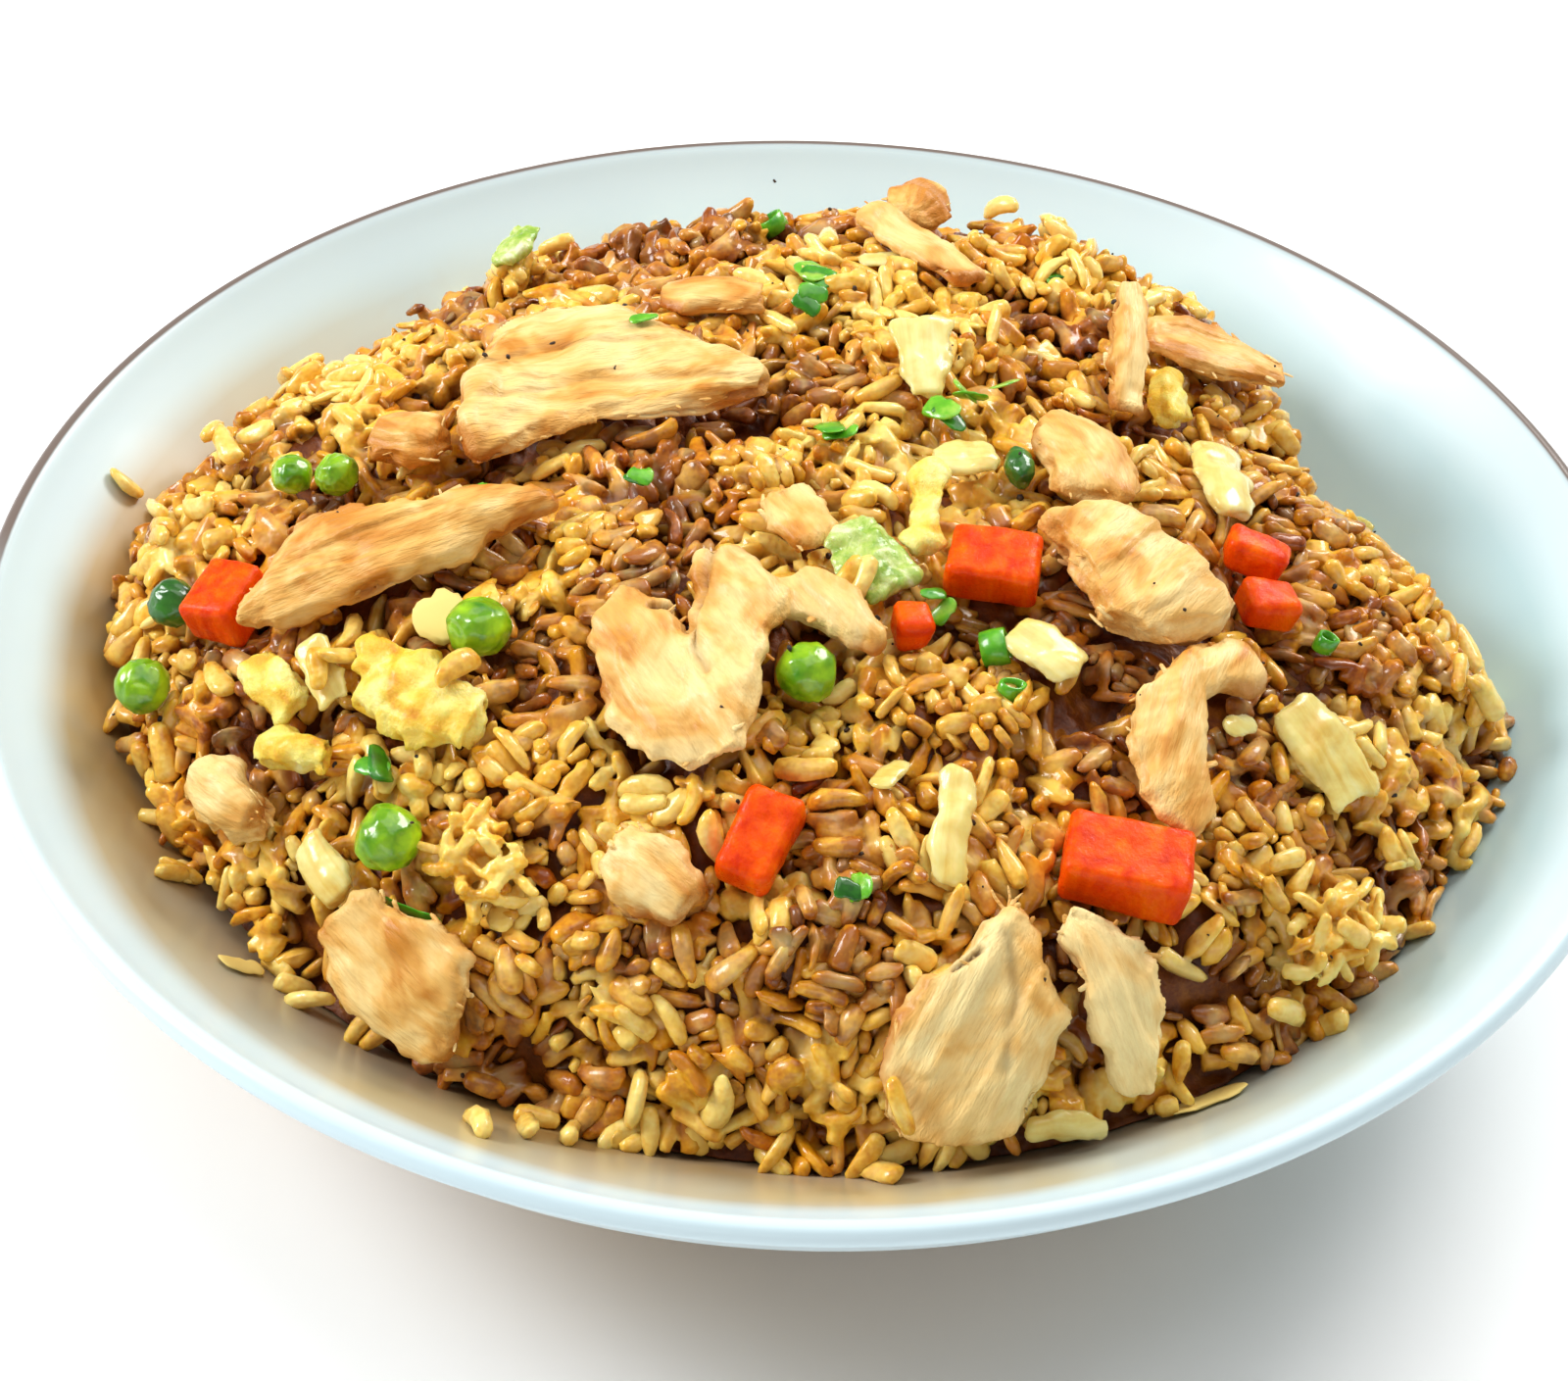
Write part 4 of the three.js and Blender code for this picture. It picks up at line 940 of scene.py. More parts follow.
def make_shreds(pieces, material):
    """Short torn fibres along the edges of the chicken, and the wisps at one tip."""
    random = np.random.default_rng(31)
    middles, ways, ups = [], [], []
    for piece in pieces:
        points, normals = points_of(piece.data), normals_of(piece.data)
        axes = local_frame(points)[1]
        edge = np.nonzero((np.abs(normals @ axes[2]) < 0.4) & (normals[:, 2] > -0.1))[0]
        for index in random.choice(edge, SHREDS):
            way = normals[index] * 0.25 + axes[0] * random.uniform(-1, 1) + 0.1 * random.normal(size=3)
            middles.append(points[index] - normals[index] * 0.15)
            ways.append(normalised(way))
            ups.append(axes[2])
    tip = max(points_of(bpy.data.objects["chicken_front_flap_cooked"].data), key=lambda point: point[1])
    for turn in (-0.9, 0.1, 0.8):
        middles.append(tip + np.array([turn, 0.6, 0.6]))
        ways.append(normalised(np.array([turn, 0.7, 0.8])))
        ups.append(np.array([0, -0.7, 0.7]))
    count = len(middles)
    halves = random.uniform(0.5, 1.4, count)
    halves[-3:] = (1.6, 2.0, 1.4)
    shreds = Grains(np.array(middles), np.array(ways), halves, random.uniform(0.16, 0.4, count))
    mesh = rods_mesh("chicken_shreds", CRUMB_SHAPE, shreds, random, 0.2, (0.4, 0.7), np.array(ups))
    set_values(mesh, "local", points_of(mesh))
    mesh.materials.append(material)
    piece = link("chicken_shreds", mesh)
    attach(piece, "root")


# The surface of the heap, as a grid of heights

def heap_grid(x, y):
    """Heights of the CAD heap's top every millimetre, softened; outside the heap, the dish's wall."""
    tree = tree_of(["rice"])
    heights = wall_height(np.hypot(x, y))
    covered = np.zeros(heights.shape, bool)
    for i, j in zip(*np.nonzero(np.hypot(x, y) < HEAP_REACH)):
        hit = seen_from_above(tree, x[i, j], y[i, j])
        if hit[0] is not None:
            heights[i, j] = hit[0].z
            covered[i, j] = True
    for _ in range(3):
        padded = np.pad(heights, 1, mode="edge")
        heights = (padded[:-2, 1:-1] + padded[2:, 1:-1] + padded[1:-1, :-2] + padded[1:-1, 2:]
                   + 4 * padded[1:-1, 1:-1]) / 8
    return heights, covered


def worn_down(heights, depth):
    """The heights less a skin of this depth all over: the underside of a ball rolled below them."""
    reach = int(depth)
    size = len(heights)
    padded = np.pad(heights, reach, mode="edge")
    lowest = np.full(heights.shape, np.inf)
    for i in range(-reach, reach + 1):
        for j in range(-reach, reach + 1):
            if i * i + j * j <= depth * depth:
                moved = padded[reach + i:reach + i + size, reach + j:reach + j + size]
                lowest = np.minimum(lowest, moved - math.sqrt(depth * depth - i * i - j * j))
    return lowest


def sampled(grid, x, y):
    """The grid's value at points in plan, from its four nearest corners."""
    u = np.clip(np.asarray(x, float) + GRID_HALF, 0, 2 * GRID_HALF - 1.001)
    v = np.clip(np.asarray(y, float) + GRID_HALF, 0, 2 * GRID_HALF - 1.001)
    i, j = u.astype(int), v.astype(int)
    a, b = u - i, v - j
    return (grid[i, j] * (1 - a) * (1 - b) + grid[i + 1, j] * a * (1 - b)
            + grid[i, j + 1] * (1 - a) * b + grid[i + 1, j + 1] * a * b)


class Heap:
    """The heap's top, its slopes, and the core that the loose grains lie on."""

    def __init__(self):
        side = np.arange(-GRID_HALF, GRID_HALF + 1)
        x, y = np.meshgrid(side, side, indexing="ij")
        self.top, covered = heap_grid(x, y)
        self.covered = covered.astype(float)
        flat = np.stack([x, y, np.zeros(x.shape)], axis=2).reshape(-1, 3)
        swells = layered(flat, 15, 4, 2).reshape(x.shape)
        self.pits = smoothstep(0.3, 0.52, noise(flat, PIT_WIDTH, 77).reshape(x.shape))
        wall = wall_height(np.hypot(x, y))
        core = worn_down(self.top, SHELL) + 0.6 * swells - PIT_DEPTH * self.pits
        self.core = np.where(covered, np.maximum(core, wall + 0.3), wall)
        self.slope_x, self.slope_y = np.gradient(self.top)

    def normal(self, points):
        x, y = points[:, 0], points[:, 1]
        rise_x, rise_y = sampled(self.slope_x, x, y), sampled(self.slope_y, x, y)
        return normalised(np.stack([-rise_x, -rise_y, np.ones(len(x))], axis=1))

    def above(self, points):
        """How far points stand over the top of the heap, straight up."""
        return points[:, 2] - sampled(self.top, points[:, 0], points[:, 1])

    def inside(self, x, y):
        return sampled(self.covered, x, y) > 0.6

    def on_top(self, x, y):
        return np.stack([x, y, sampled(self.top, x, y)], axis=1)


# Grains

def close_pairs(points, reach):
    """Pairs of points that may lie within reach of one another: those in the same or touching cells."""
    cells = np.floor(points / reach).astype(np.int64)
    cells -= cells.min(0) - 1
    span = cells.max(0) + 2
    key = (cells[:, 0] * span[1] + cells[:, 1]) * span[2] + cells[:, 2]
    order = np.argsort(key, kind="stable")
    keys = key[order]
    everyone = np.arange(len(points))
    steps = [(1, dy, dz) for dy in (-1, 0, 1) for dz in (-1, 0, 1)]
    steps += [(0, 1, -1), (0, 1, 0), (0, 1, 1), (0, 0, 1), (0, 0, 0)]
    firsts, seconds = [], []
    for dx, dy, dz in steps:
        target = key + (dx * span[1] + dy) * span[2] + dz
        start = np.searchsorted(keys, target, "left")
        count = np.searchsorted(keys, target, "right") - start
        first = np.repeat(everyone, count)
        inner = np.arange(count.sum()) - np.repeat(np.cumsum(count) - count, count)
        second = order[np.repeat(start, count) + inner]
        if (dx, dy, dz) == (0, 0, 0):
            once = first < second
            first, second = first[once], second[once]
        firsts.append(first)
        seconds.append(second)
    return np.concatenate(firsts), np.concatenate(seconds)


class Grains:
    """Grains as rods of three balls: a middle, a direction, half a length and a radius each."""

    FIELDS = ("middles", "ways", "halves", "radii", "clump", "tone")

    def __init__(self, middles, ways, halves, radii, clump=None, tone=None):
        count = len(middles)
        self.middles, self.ways, self.halves, self.radii = middles, ways, halves, radii
        self.clump = np.zeros(count, int) if clump is None else clump
        self.tone = np.full(count, 0.5) if tone is None else tone

    def balls(self):
        reach = self.ways * self.halves[:, None]
        return np.stack([self.middles - reach, self.middles, self.middles + reach], axis=1).reshape(-1, 3)

    def take(self, balls):
        rods = balls.reshape(-1, 3, 3)
        self.middles = rods.mean(1)
        self.ways = normalised(rods[:, 2] - rods[:, 0])

    def chosen(self, which):
        return Grains(*(getattr(self, field)[which] for field in self.FIELDS))


def clump_middles(heap, random):
    """Middles of the sticky clumps: places on the heap that keep a distance from one another."""
    x, y = random.uniform(-96, 96, (2, 6000))
    inside = heap.inside(x, y)
    spots = heap.on_top(x[inside], y[inside])
    kept = spots[:1]
    for spot in spots[1:]:
        if ((kept - spot) ** 2).sum(1).min() > CLUMP_SPACING**2:
            kept = np.vstack([kept, spot])
    return kept


def scatter(heap, toppings, random):
    """Grains thrown at random into a shell over the core, evenly by area of its slope."""
    halves = np.concatenate([random.uniform(*half, count) for count, half, _ in SIZES.values()])
    radii = np.concatenate([random.uniform(*radius, count) for count, _, radius in SIZES.values()])
    total = len(halves)
    middles = np.zeros((0, 3))
    while len(middles) < total:
        x, y = random.uniform(-HEAP_REACH, HEAP_REACH, (2, HANDFUL))
        normal = heap.normal(np.stack([x, y], axis=1))
        even = random.random(HANDFUL) < np.minimum(1 / normal[:, 2], 5) / 5
        clear = random.random(HANDFUL) > 0.85 * sampled(heap.pits, x, y)
        inside = even & clear & heap.inside(x, y)
        x, y, normal = x[inside], y[inside], normal[inside]
        foot = np.stack([x, y, sampled(heap.core, x, y)], axis=1)
        place = foot + normal * random.uniform(0.8, SHELL + 1.2, (len(x), 1))
        free = []
        for start in foot:
            hit = toppings.ray_cast(Vector(start), UP)
            free.append(hit[0] is None or hit[3] > 6)
        middles = np.vstack([middles, place[np.array(free, bool)]])
    middles = middles[random.permutation(len(middles))[:total]]
    normal = heap.normal(middles)
    ways = normalised(random.normal(size=(total, 3)))
    ways = normalised(ways - 0.5 * normal * (ways * normal).sum(1, keepdims=True))
    centres = clump_middles(heap, random)
    near = [np.argmin(((centres - middle) ** 2).sum(1)) for middle in middles]
    return Grains(middles, ways, halves, radii, np.array(near))


def settle(grains, heap, toppings, random):
    """Presses the grains onto the core until they lie against it, each other, the toppings and the dish."""
    owner = np.repeat(np.arange(len(grains.middles)), 3)
    clump = grains.clump[owner]
    lift = np.clip(CLUMP_LIFT * random.normal(size=grains.clump.max() + 1), -1.5, 1.7)[clump]
    radii = np.repeat(grains.radii, 3)
    reach = 2 * radii.max()
    for step, pull in enumerate(np.linspace(0.22, 0.05, SETTLE_STEPS)):
        normal = heap.normal(grains.middles)
        members = np.maximum(np.bincount(grains.clump), 1)
        for axis in range(3):
            mean = np.bincount(grains.clump, grains.middles[:, axis]) / members
            grains.middles[:, axis] += CLUMP_PULL * (mean[grains.clump] - grains.middles[:, axis])
        grains.middles = grains.middles - normal * pull
        balls = grains.balls()
        if step % 4 == 0:
            first, second = close_pairs(balls, reach)
            apart = owner[first] != owner[second]
            first, second = first[apart], second[apart]
            share = np.where(clump[first] == clump[second], INSIDE_CLUMP, BETWEEN_CLUMPS)
            room = (radii[first] + radii[second]) * share
        gap = balls[first] - balls[second]
        distance = np.maximum(np.linalg.norm(gap, axis=1), 1e-6)
        touching = room > distance
        a, b = first[touching], second[touching]
        overlap = (room - distance)[touching, None]
        push = gap[touching] / distance[touching, None] * (0.32 * overlap)
        for axis in range(3):
            balls[:, axis] += np.bincount(a, push[:, axis], len(balls))
            balls[:, axis] -= np.bincount(b, push[:, axis], len(balls))
        if step % 6 == 5 or step > SETTLE_STEPS - 4:
            clear_of(toppings, balls, radii * 0.9)
        x, y = balls[:, 0], balls[:, 1]
        normal = heap.normal(balls)
        bed = sampled(heap.core, x, y) + lift * heap.inside(x, y)
        depth = (balls[:, 2] - bed) * normal[:, 2] - radii * 0.75
        balls -= normal * np.minimum(depth, 0)[:, None]
        grains.take(balls)


def clear_of(toppings, balls, radii):
    """Moves balls out of the toppings that they have run into."""
    for i, (point, radius) in enumerate(zip(balls, radii)):
        near = toppings.find_nearest(Vector(point), radius + 3.5)
        if near[0] is None:
            continue
        away = point - np.array(near[0])
        outside = float(np.dot(away, near[1]))
        if outside < 0:
            balls[i] = np.array(near[0]) + np.array(near[1]) * radius
        elif near[3] < radius:
            balls[i] = np.array(near[0]) + away / max(near[3], 1e-6) * radius


def within_form(grains, heap):
    """Which grains lie in the CAD heap's form: none stands far out of its top or past its edge."""
    balls = grains.balls()
    radii = np.repeat(grains.radii, 3)
    above = heap.above(balls) * heap.normal(balls)[:, 2] + radii
    inside = heap.inside(grains.middles[:, 0], grains.middles[:, 1])
    in_box = balls[:, 2] + radii < cad_box[1].z / MM
    return (above.reshape(-1, 3).max(1) < SURFACE_ROOM) & in_box.reshape(-1, 3).all(1) & inside


def rod_shape(sides, stations):
    """A unit grain along x: its stations, the angles round it, and its faces."""
    turns = circle(sides)
    along = np.concatenate([np.repeat(stations, sides), [-1.0, 1.0]])
    around = np.concatenate([np.tile(turns, len(stations)), [0.0, 0.0]])
    rings = [np.arange(sides) + sides * station for station in range(len(stations))]
    faces = [band(ring, other) for ring, other in zip(rings[:-1], rings[1:])]
    faces.append(fan(len(along) - 2, rings[0]))
    faces.append(fan(len(along) - 1, rings[-1])[:, ::-1])
    return along, around, np.vstack(faces)[:, ::-1]


GRAIN_SHAPE = rod_shape(8, (-0.97, -0.84, -0.48, 0.0, 0.48, 0.84, 0.97))
CRUMB_SHAPE = rod_shape(6, (-0.86, -0.35, 0.35, 0.86))
FLAKE_SHAPE = rod_shape(10, (-0.94, -0.6, -0.2, 0.2, 0.6, 0.94))
LEAF_SHAPE = rod_shape(14, (-0.97, -0.86, -0.68, -0.42, -0.14, 0.14, 0.42, 0.68, 0.86, 0.97))


def rods_mesh(name, shape, grains, random, ragged, flatness=(0.6, 1.0), ups=None, widening=1.0):
    """All grains of one kind in one mesh, each with its own bend, taper, flat sides and dents."""
    along, around, faces = shape
    count, size = len(grains.middles), len(along)

    def each(low, high):
        return random.uniform(low, high, (count, 1))

    power = np.where(along[None, :] < 0, each(1.8, 9), each(1.8, 9))
    thick = np.clip(1 - np.abs(along)[None, :] ** power, 0, 1) ** each(0.4, 0.6)
    thick = thick * (1 + each(-0.24, 0.24) * along[None, :])
    oval = 1 + each(0, 0.2) * np.cos(2 * around[None, :] - each(0, 6.3))
    oval = oval * (1 + ragged * random.uniform(-1, 1, (count, size)))
    half = (grains.halves + grains.radii)[:, None]
    wide = grains.radii[:, None] * each(0.98, 1.14) * widening
    tall = grains.radii[:, None] * each(*flatness)
    x = along[None, :] * half
    y = np.cos(around)[None, :] * thick * wide * oval
    z = np.sin(around)[None, :] * thick * tall * oval
    long_enough = smoothstep(1.0, 2.4, grains.halves)[:, None]
    y = y + each(-1.1, 1.1) * long_enough * (along[None, :] ** 2 - 0.4)
    z = z + each(-0.7, 0.7) * long_enough * (along[None, :] ** 2 - 0.4)
    way = grains.ways
    side = normalised(np.cross(way, random.normal(size=(count, 3)) if ups is None else ups))
    up = np.cross(way, side)
    points = (grains.middles[:, None, :] + x[..., None] * way[:, None, :] + y[..., None] * side[:, None, :]
              + z[..., None] * up[:, None, :])
    points = points.reshape(-1, 3)
    outward = normalised(points - np.repeat(grains.middles, size, axis=0))
    points = points + outward * (1.3 * ragged * noise(points, 1.5, 88))[:, None]
    points[:, 2] = np.minimum(points[:, 2], cad_box[1].z / MM)
    all_faces = (faces[None, :, :] + (np.arange(count) * size)[:, None, None]).reshape(-1, 3)
    mesh = mesh_of(name, points, all_faces)
    set_values(mesh, "tone", np.repeat(grains.tone, size))
    # Paler middles: partly a whiter core, partly painted light
    belly = (1 - np.abs(along))[None, :] * each(0, 1)
    set_values(mesh, "belly", belly.ravel())
    return mesh


def set_recess_shade(mesh, heap):
    """How deep in the heap each point lies, which darkens the grains there with painted shade."""
    points = points_of(mesh)
    below = -heap.above(points) * heap.normal(points)[:, 2]
    set_values(mesh, "depth", smoothstep(0.9, 4.0, below))


def make_core(heap):
    """The body of the heap under the loose grains: a closed mesh that lies in the dish."""
    turns = 300
    rings = 76
    angle = circle(turns)
    reach = np.zeros(turns)
    for radius in np.arange(70, 99, 0.5):
        inside = heap.inside(radius * np.cos(angle), radius * np.sin(angle))
        reach[inside] = radius
    share = (np.arange(1, rings + 1) / rings) ** 0.9
    radius = np.outer(share, reach - 1.5)
    x, y = radius * np.cos(angle), radius * np.sin(angle)
    flat = np.stack([x.ravel(), y.ravel(), np.zeros(x.size)], axis=1)
    relief = 1.2 * np.abs(layered(flat, 3.2, 12, 2)).reshape(x.shape) * (1 - share[:, None] ** 12)
    top = sampled(heap.core, x, y) - 0.4 + relief
    under = wall_height(radius) + 0.35
    top = np.maximum(top, under + 0.2)
    upper = np.stack([x, y, top], axis=2).reshape(-1, 3)
    lower_rings = np.array([rings - 1, rings - 8, rings - 20, rings - 40, 12])
    lower = np.stack([x, y, under], axis=2)[lower_rings].reshape(-1, 3)
    middle_top = [[0, 0, float(sampled(heap.core, 0.0, 0.0))]]
    points = np.vstack([upper, lower, middle_top, [[0, 0, float(wall_height(0)) + 0.35]]])
    loops = [np.arange(turns) + ring * turns for ring in range(rings)]
    loops += [np.arange(turns) + (rings + k) * turns for k in range(len(lower_rings))]
    faces = [band(inner, outer) for inner, outer in zip(loops[:-1], loops[1:])]
    faces.append(fan(len(points) - 2, loops[0]))
    faces.append(fan(len(points) - 1, loops[-1])[:, ::-1])
    core = link("rice_core", mesh_of("rice_core", points, np.vstack(faces)))
    core.data.materials.append(core_paint())
    return core


def part_of_rice(piece):
    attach(piece, "root")
    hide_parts("rice")


def grain_piece(kind, shape, grains, heap, random, ragged):
    name = f"rice_grains_{kind}"
    mesh = rods_mesh(name, shape, grains, random, ragged)
    set_recess_shade(mesh, heap)
    mesh.materials.append(grain_paint(kind))
    part_of_rice(link(name, mesh))


def clumped(name, grains, random, voxel, most=None):
    """Grains that stick together: one skin over all of them, where each keeps its own tone."""
    slim = grains.chosen(slice(None))
    slim.radii = grains.radii * CLUMP_SLIMMING
    piece = link(name, rods_mesh(name, GRAIN_SHAPE, slim, random, 0.13))
    reskinned(piece, voxel, 1, most)
    mesh = piece.data
    points = points_of(mesh)
    torn = 0.16 * layered(points, 1.9, 88, 2) + 0.13 * noise(points, 0.75, 89)
    set_points(mesh, points + normals_of(mesh) * torn[:, None])
    stations = 5
    along = np.linspace(-1, 1, stations)[None, :, None] * grains.halves[:, None, None]
    places = (grains.middles[:, None, :] + grains.ways[:, None, :] * along).reshape(-1, 3)
    tree = KDTree(len(places))
    for index, place in enumerate(places):
        tree.insert(place, index)
    tree.balance()
    nearest = np.array([tree.find(point)[1] for point in points.tolist()])
    owner = nearest // stations
    centred = 1 - np.abs(nearest % stations - (stations - 1) / 2) / stations * 2
    set_values(mesh, "tone", grains.tone[owner])
    # Paler middles: partly a whiter core, partly painted light
    set_values(mesh, "belly", centred * random.random(len(grains.middles))[owner])
    return piece


def make_rice(heap, toppings):
    """The core and, on it, the sticky clumps of grains in their shades, loose grains and crumbs."""
    random = np.random.default_rng(7)
    grains = scatter(heap, toppings, random)
    settle(grains, heap, toppings, random)
    grains = grains.chosen(within_form(grains, heap))
    count = len(grains.middles)
    clump_tone = random.normal(size=grains.clump.max() + 1)[grains.clump]
    soy = layered(grains.middles, 17, 40, 2) + 0.4 * clump_tone + 0.2 * random.normal(size=count)
    rank = np.argsort(np.argsort(soy)) / count
    shade = np.digitize(rank, SHADE_SHARES)
    tone = 0.5 + 0.3 * layered(grains.middles, 7, 41, 2) + 0.22 * random.normal(size=count)
    grains.tone = np.clip(tone, 0, 1)
    crumb = grains.radii + grains.halves < 1.75
    height = heap.above(grains.middles)
    loose = ~crumb & (height > np.quantile(height[~crumb], 1 - LOOSE_SHARE))
    part_of_rice(make_core(heap))
    for index, kind in enumerate(SHADES):
        batch = grains.chosen((shade == index) & ~crumb & ~loose)
        piece = clumped(f"rice_grains_{kind}", batch, random, CLUMP_VOXEL, CLUMP_TRIANGLES)
        set_recess_shade(piece.data, heap)
        piece.data.materials.append(grain_paint(kind))
        part_of_rice(piece)
    grains.tone = rank
    make_loose(heap, grains.chosen(loose), toppings, random)
    grain_piece("crumb", CRUMB_SHAPE, grains.chosen(crumb), heap, random, 0.2)
    make_flakes(heap, grains.chosen(~crumb), random)
    return grains


def make_loose(heap, grains, toppings, random):
    """The grains that lie loose on the clumps, and those that are stuck to the toppings."""
    middles, ways = list(grains.middles), list(grains.ways)
    for x, y, count in STUCK_GRAINS:
        for _ in range(count):
            hit = seen_from_above(toppings, x + random.uniform(-1.4, 1.4), y + random.uniform(-1.4, 1.4))
            if hit[0] is None or hit[1].z < 0.2:
                continue
            normal = np.array(hit[1])
            middles.append(np.array(hit[0]) + normal * 0.95)
            ways.append(across(random.normal(size=3), normal))
    for x, y, count, spread in WALL_GRAINS:
        for _ in range(count):
            u, v = x + spread * random.normal(), y + spread * random.normal()
            place, normal = resting(u, v, heap, toppings)
            middles.append(place + normal * 1.1)
            ways.append(across(random.normal(size=3), normal))
    for x, y, count, spread, height in PILED_GRAINS:
        for _ in range(count):
            u, v = x + spread * random.normal(), y + spread * random.normal()
            middles.append(np.array([u, v, float(sampled(heap.top, u, v)) + height]))
            ways.append(normalised(random.normal(size=3) * (1, 1, 0.3)))
    extra = len(middles) - len(grains.middles)
    everyone = Grains(np.array(middles), np.array(ways),
                      np.concatenate([grains.halves, random.uniform(1.3, 2.3, extra)]),
                      np.concatenate([grains.radii, random.uniform(1.15, 1.4, extra)]),
                      tone=np.concatenate([grains.tone, random.uniform(0, 0.5, extra)]))
    grain_piece("loose", GRAIN_SHAPE, everyone, heap, random, 0.1)


def resting(x, y, heap, toppings):
    """What lies under a place in plan, seen from above: a point on it and its outward direction."""
    hit = seen_from_above(toppings, x, y)
    if hit[0] is not None:
        return np.array(hit[0]), np.array(hit[1])
    if heap.inside(x, y):
        place = np.array([x, y, float(sampled(heap.top, x, y))])
        return place, heap.normal(place[None, :])[0]
    radius = math.hypot(x, y)
    slope = float(wall_height(radius + 0.5) - wall_height(radius - 0.5))
    return (np.array([x, y, float(wall_height(radius))]),
            normalised(np.array([-slope * x / radius, -slope * y / radius, 1.0])))


def make_scraps(heap, toppings):
    """Scraps of egg, onion and leaf that lie on the heap and on the bare wall."""
    random = np.random.default_rng(37)
    slots = {"scrambled_egg": "scrambled_egg", "fried_onion": "onion", "green_onion": "fried_rice"}
    for paint, slot in slots.items():
        mine = [scrap[1:] for scrap in SCRAPS if scrap[0] == paint]
        middles, ways, ups = [], [], []
        for x, y, _, _, thick, turn in mine:
            place, normal = resting(x, y, heap, toppings)
            way = np.array([math.cos(math.radians(turn)), math.sin(math.radians(turn)), 0])
            middles.append(place + normal * (thick * 0.5 + 0.3))
            ways.append(across(way, normal))
            ups.append(normal)
        sizes = np.array(mine)
        scraps = Grains(np.array(middles), np.array(ways), sizes[:, 2] - sizes[:, 3], sizes[:, 3],
                        tone=random.uniform(0.3, 0.9, len(mine)))
        flatness = sizes[:, 4:5] / sizes[:, 3:4] / 2
        name = f"{paint}_scraps"
        mesh = rods_mesh(name, LEAF_SHAPE, scraps, random, 0.14, (flatness, flatness), np.array(ups))
        set_values(mesh, "local", points_of(mesh))
        mesh.materials.append(bpy.data.materials[paint])
        piece = link(name, mesh)
        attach(piece, "root")


def make_flakes(heap, grains, random):
    """Torn bits of grain that stick to the clumps and bridge their grains."""
    picked = grains.chosen(random.permutation(len(grains.middles))[:FLAKES])
    normal = heap.normal(picked.middles)
    flat = normalised(normal + 0.5 * random.normal(size=normal.shape))
    ways = across(normalised(random.normal(size=normal.shape)), flat)
    middles = picked.middles + normal * picked.radii[:, None] * random.uniform(0.3, 0.8, (FLAKES, 1))
    middles = middles + 0.8 * random.normal(size=normal.shape)
    tone = np.clip(picked.tone + random.uniform(-0.15, 0.1, FLAKES), 0, 1)
    flakes = Grains(middles, ways, random.uniform(0.3, 1.5, FLAKES), random.uniform(0.9, 1.6, FLAKES),
                    tone=tone)
    kept = within_form(flakes, heap)
    flat = flat[kept]
    mesh = rods_mesh("rice_flakes", FLAKE_SHAPE, flakes.chosen(kept), random, 0.16, (0.3, 0.55), flat)
    set_recess_shade(mesh, heap)
    mesh.materials.append(bpy.data.materials["rice_crumb"])
    part_of_rice(link("rice_flakes", mesh))


def make_lumps(heap):
    """The toppings that are lumps of pale rice: grains all through each one's CAD form."""
    random = np.random.default_rng(29)
    for node, slot in RICE_LUMPS.items():
        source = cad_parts[node].data
        corners = points_of(source)
        skin = tree_of([node])
        low, high = corners.min(0), corners.max(0)
        middles = []
        for place in random.uniform(low, high, (LUMP_TRIES, 3)):
            hit = skin.find_nearest(Vector(place))
            depth = (np.array(hit[0]) - place).dot(np.array(hit[1]))
            room = min((np.linalg.norm(place - other) for other in middles), default=9)
            if depth > 0.4 and room > LUMP_SPACING:
                middles.append(place)
        count = len(middles)
        grains = Grains(np.array(middles), normalised(random.normal(size=(count, 3))),
                        random.uniform(0.9, 2.1, count), random.uniform(0.85, 1.15, count),
                        tone=random.uniform(0.0, 0.6, count))
        piece = clumped(f"{node}_cooked", grains, random, 0.3)
        set_recess_shade(piece.data, heap)
        piece.data.materials.append(bpy.data.materials["rice_pale"])
        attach(piece, "root")
        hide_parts(node)


# Chopped green onion and pepper

def tube_mesh(points, faces, place, axis, size, random):
    """Adds a slice of a hollow green onion leaf: a short tube, squashed and uneven."""
    sides = 20
    turns = circle(sides)
    side = normalised(np.cross(axis, random.normal(size=3)))
    up = np.cross(axis, side)
    outer, wall, half = size / 2, size * 0.13, size * 0.3
    squash = random.uniform(0.68, 0.85)
    section = [(outer, -half), (outer * 1.04, 0), (outer, half), (outer - wall / 2, half * 1.1),
               (outer - wall, half), (outer - wall, -half), (outer - wall / 2, -half * 1.1)]
    first = len(points)
    wobble = 1 + 0.07 * np.sin(2 * turns + random.uniform(0, 6)) + 0.05 * np.sin(3 * turns)
    for radius, along in section:
        for turn, uneven in zip(turns, wobble):
            reach = radius * uneven
            points.append(place + axis * along + side * (reach * math.cos(turn))
                          + up * (reach * squash * math.sin(turn)))
    rings = [first + np.arange(sides) + sides * ring for ring in range(len(section))]
    for ring, other in zip(rings, rings[1:] + rings[:1]):
        faces.extend(band(ring, other)[:, ::-1])


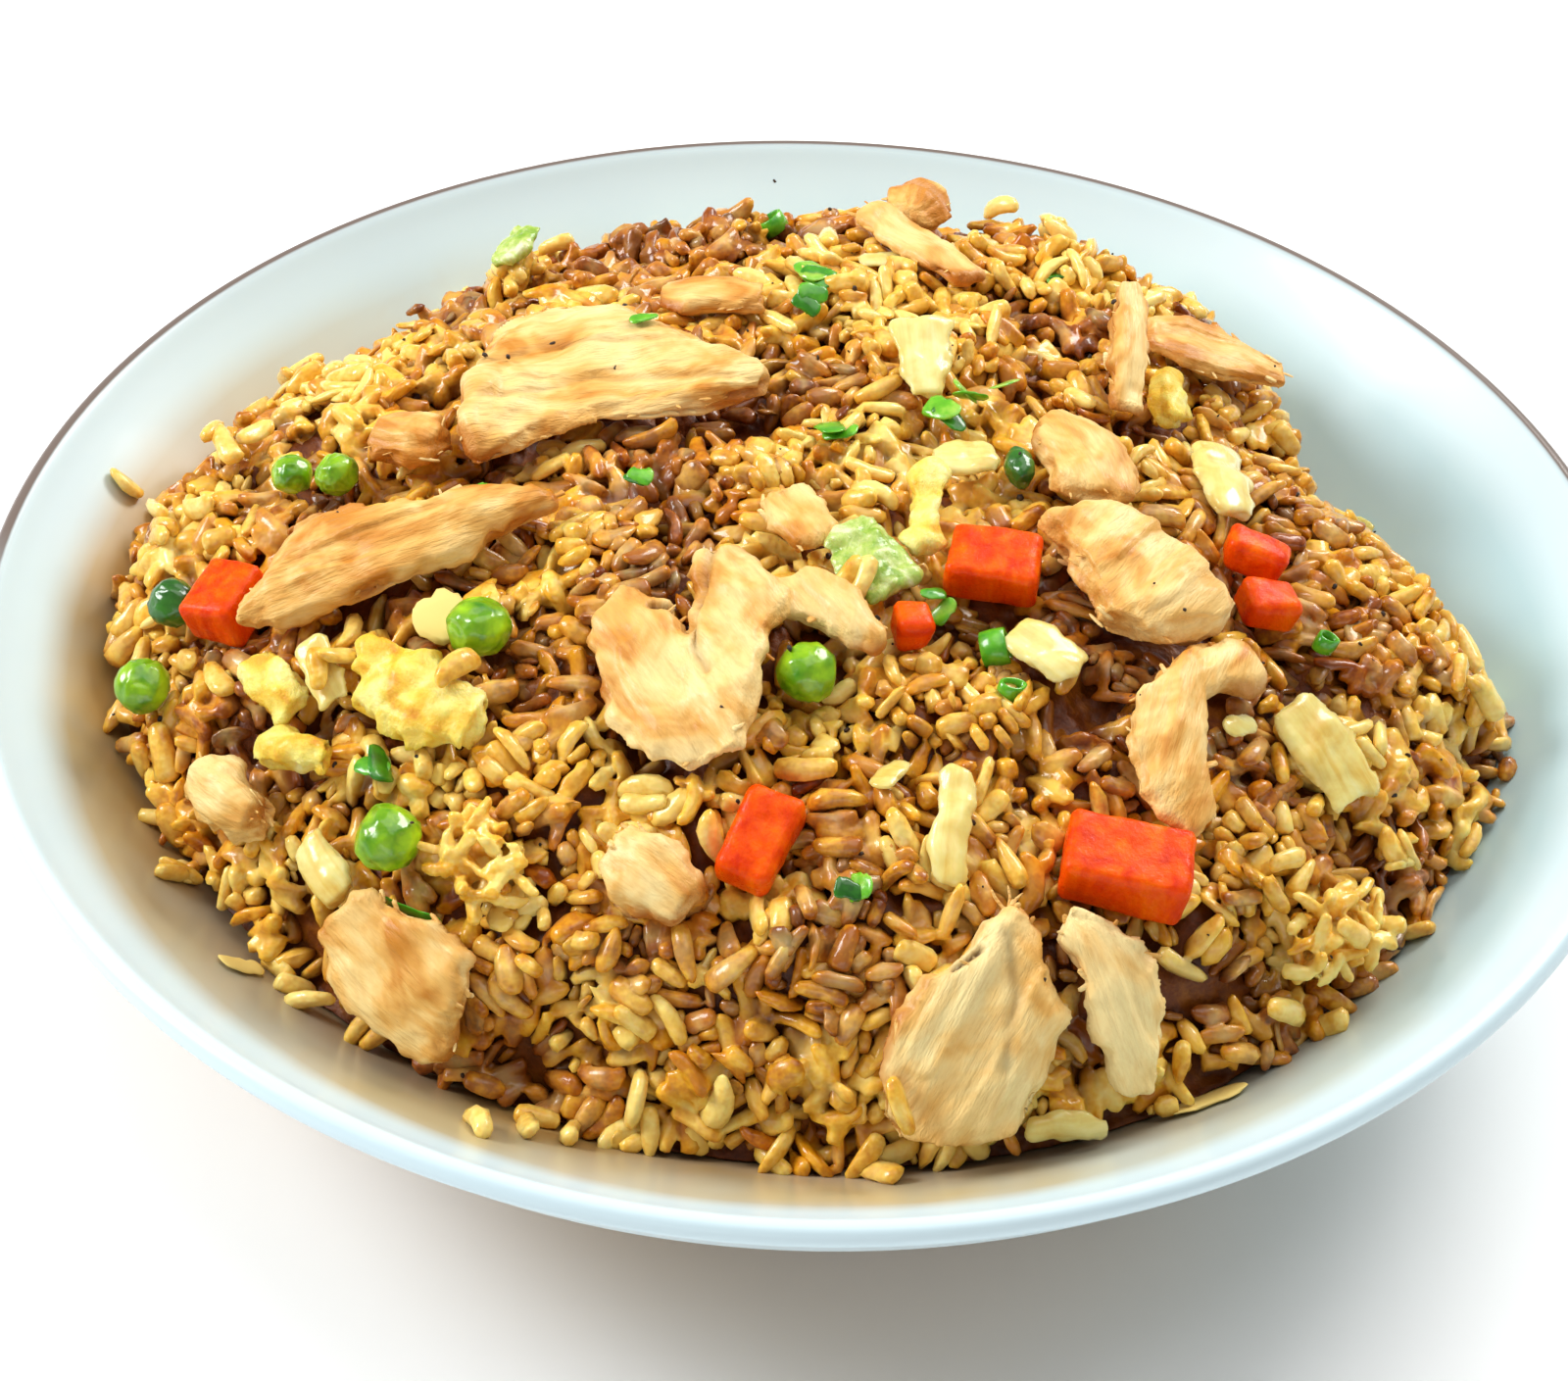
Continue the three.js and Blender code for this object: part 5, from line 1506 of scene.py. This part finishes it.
def make_greens(heap):
    """Tubes and torn leaf bits of green onion, where the CAD heap has them."""
    random = np.random.default_rng(17)
    material = leaf_paint()
    spots = np.array([(x, y) for x, y, _ in GREENS], float)
    sizes = np.array([size for _, _, size in GREENS])
    places = heap.on_top(spots[:, 0], spots[:, 1])
    for index, drop in SUNK_GREENS.items():
        places[index, 2] -= drop
    normals = heap.normal(spots)
    points, faces = [], []
    for i in TUBES:
        axis = normalised(normals[i] * 0.7 + random.normal(size=3) * 0.6)
        tube_mesh(points, faces, places[i] - normals[i] * 0.4, axis, sizes[i], random)
    tubes = mesh_of("green_onion_tubes", np.array(points), np.array(faces))
    set_values(tubes, "tone", np.full(len(points), 0.55))
    leafy = np.array([i for i in range(len(GREENS)) if i not in TUBES])
    leafy = np.repeat(leafy, 2)
    extra = len(leafy)
    ways = normalised(random.normal(size=(extra, 3)))
    normal = normalised(normals[leafy] + 0.35 * random.normal(size=(extra, 3)))
    ways = across(ways, normal)
    radii = sizes[leafy] * random.uniform(0.24, 0.38, extra)
    halves = sizes[leafy] * random.uniform(0.15, 0.4, extra)
    middles = places[leafy] + normals[leafy] * random.uniform(-0.2, 0.9, (extra, 1))
    middles += random.uniform(-1.0, 1.0, (extra, 3))
    flakes = Grains(middles, ways, halves, radii, tone=random.uniform(0, 1, extra))
    leaves = rods_mesh("green_onion_leaves", LEAF_SHAPE, flakes, random, 0.14, (0.14, 0.24), normal)
    for mesh in (tubes, leaves):
        mesh.materials.append(material)
        part_of_rice(link(mesh.name, mesh))


def make_pepper(heap, grains, toppings):
    """Specks of ground pepper, on the grains and on the toppings."""
    random = np.random.default_rng(23)
    x, y = random.uniform(-90, 90, (2, PEPPER_TRIES))
    inside = heap.inside(x, y)
    places = []
    for u, v in zip(x[inside], y[inside]):
        hit = seen_from_above(toppings, u, v)
        if hit[0] is not None:
            places.append(np.array(hit[0]) + np.array(hit[1]) * 0.15)
    top = heap.normal(grains.middles)
    height = heap.above(grains.middles)
    chosen = random.permutation(np.nonzero(height > np.median(height) + 0.3)[0])[:PEPPER_SPECKS]
    places += list(grains.middles[chosen] + top[chosen] * grains.radii[chosen, None] * 0.95)
    places.append(np.array(SPECK_ON_WALL))
    places = np.array(places)
    count = len(places)
    specks = Grains(places, normalised(random.normal(size=(count, 3))), 0.3 * random.random(count) ** 2,
                    0.12 + 0.22 * random.random(count) ** 2)
    mesh = rods_mesh("pepper_specks", CRUMB_SHAPE, specks, random, 0.25)
    mesh.materials.append(pepper_paint())
    part_of_rice(link("pepper_specks", mesh))


make_camera()
make_studio()
heap = Heap()
make_dish(heap)
make_toppings()
toppings = tree_of([node for node in sorted(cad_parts) if node not in ("dish", "rice")])
grains = make_rice(heap, toppings)
make_lumps(heap)
make_greens(heap)
make_scraps(heap, toppings)
make_pepper(heap, grains, toppings)
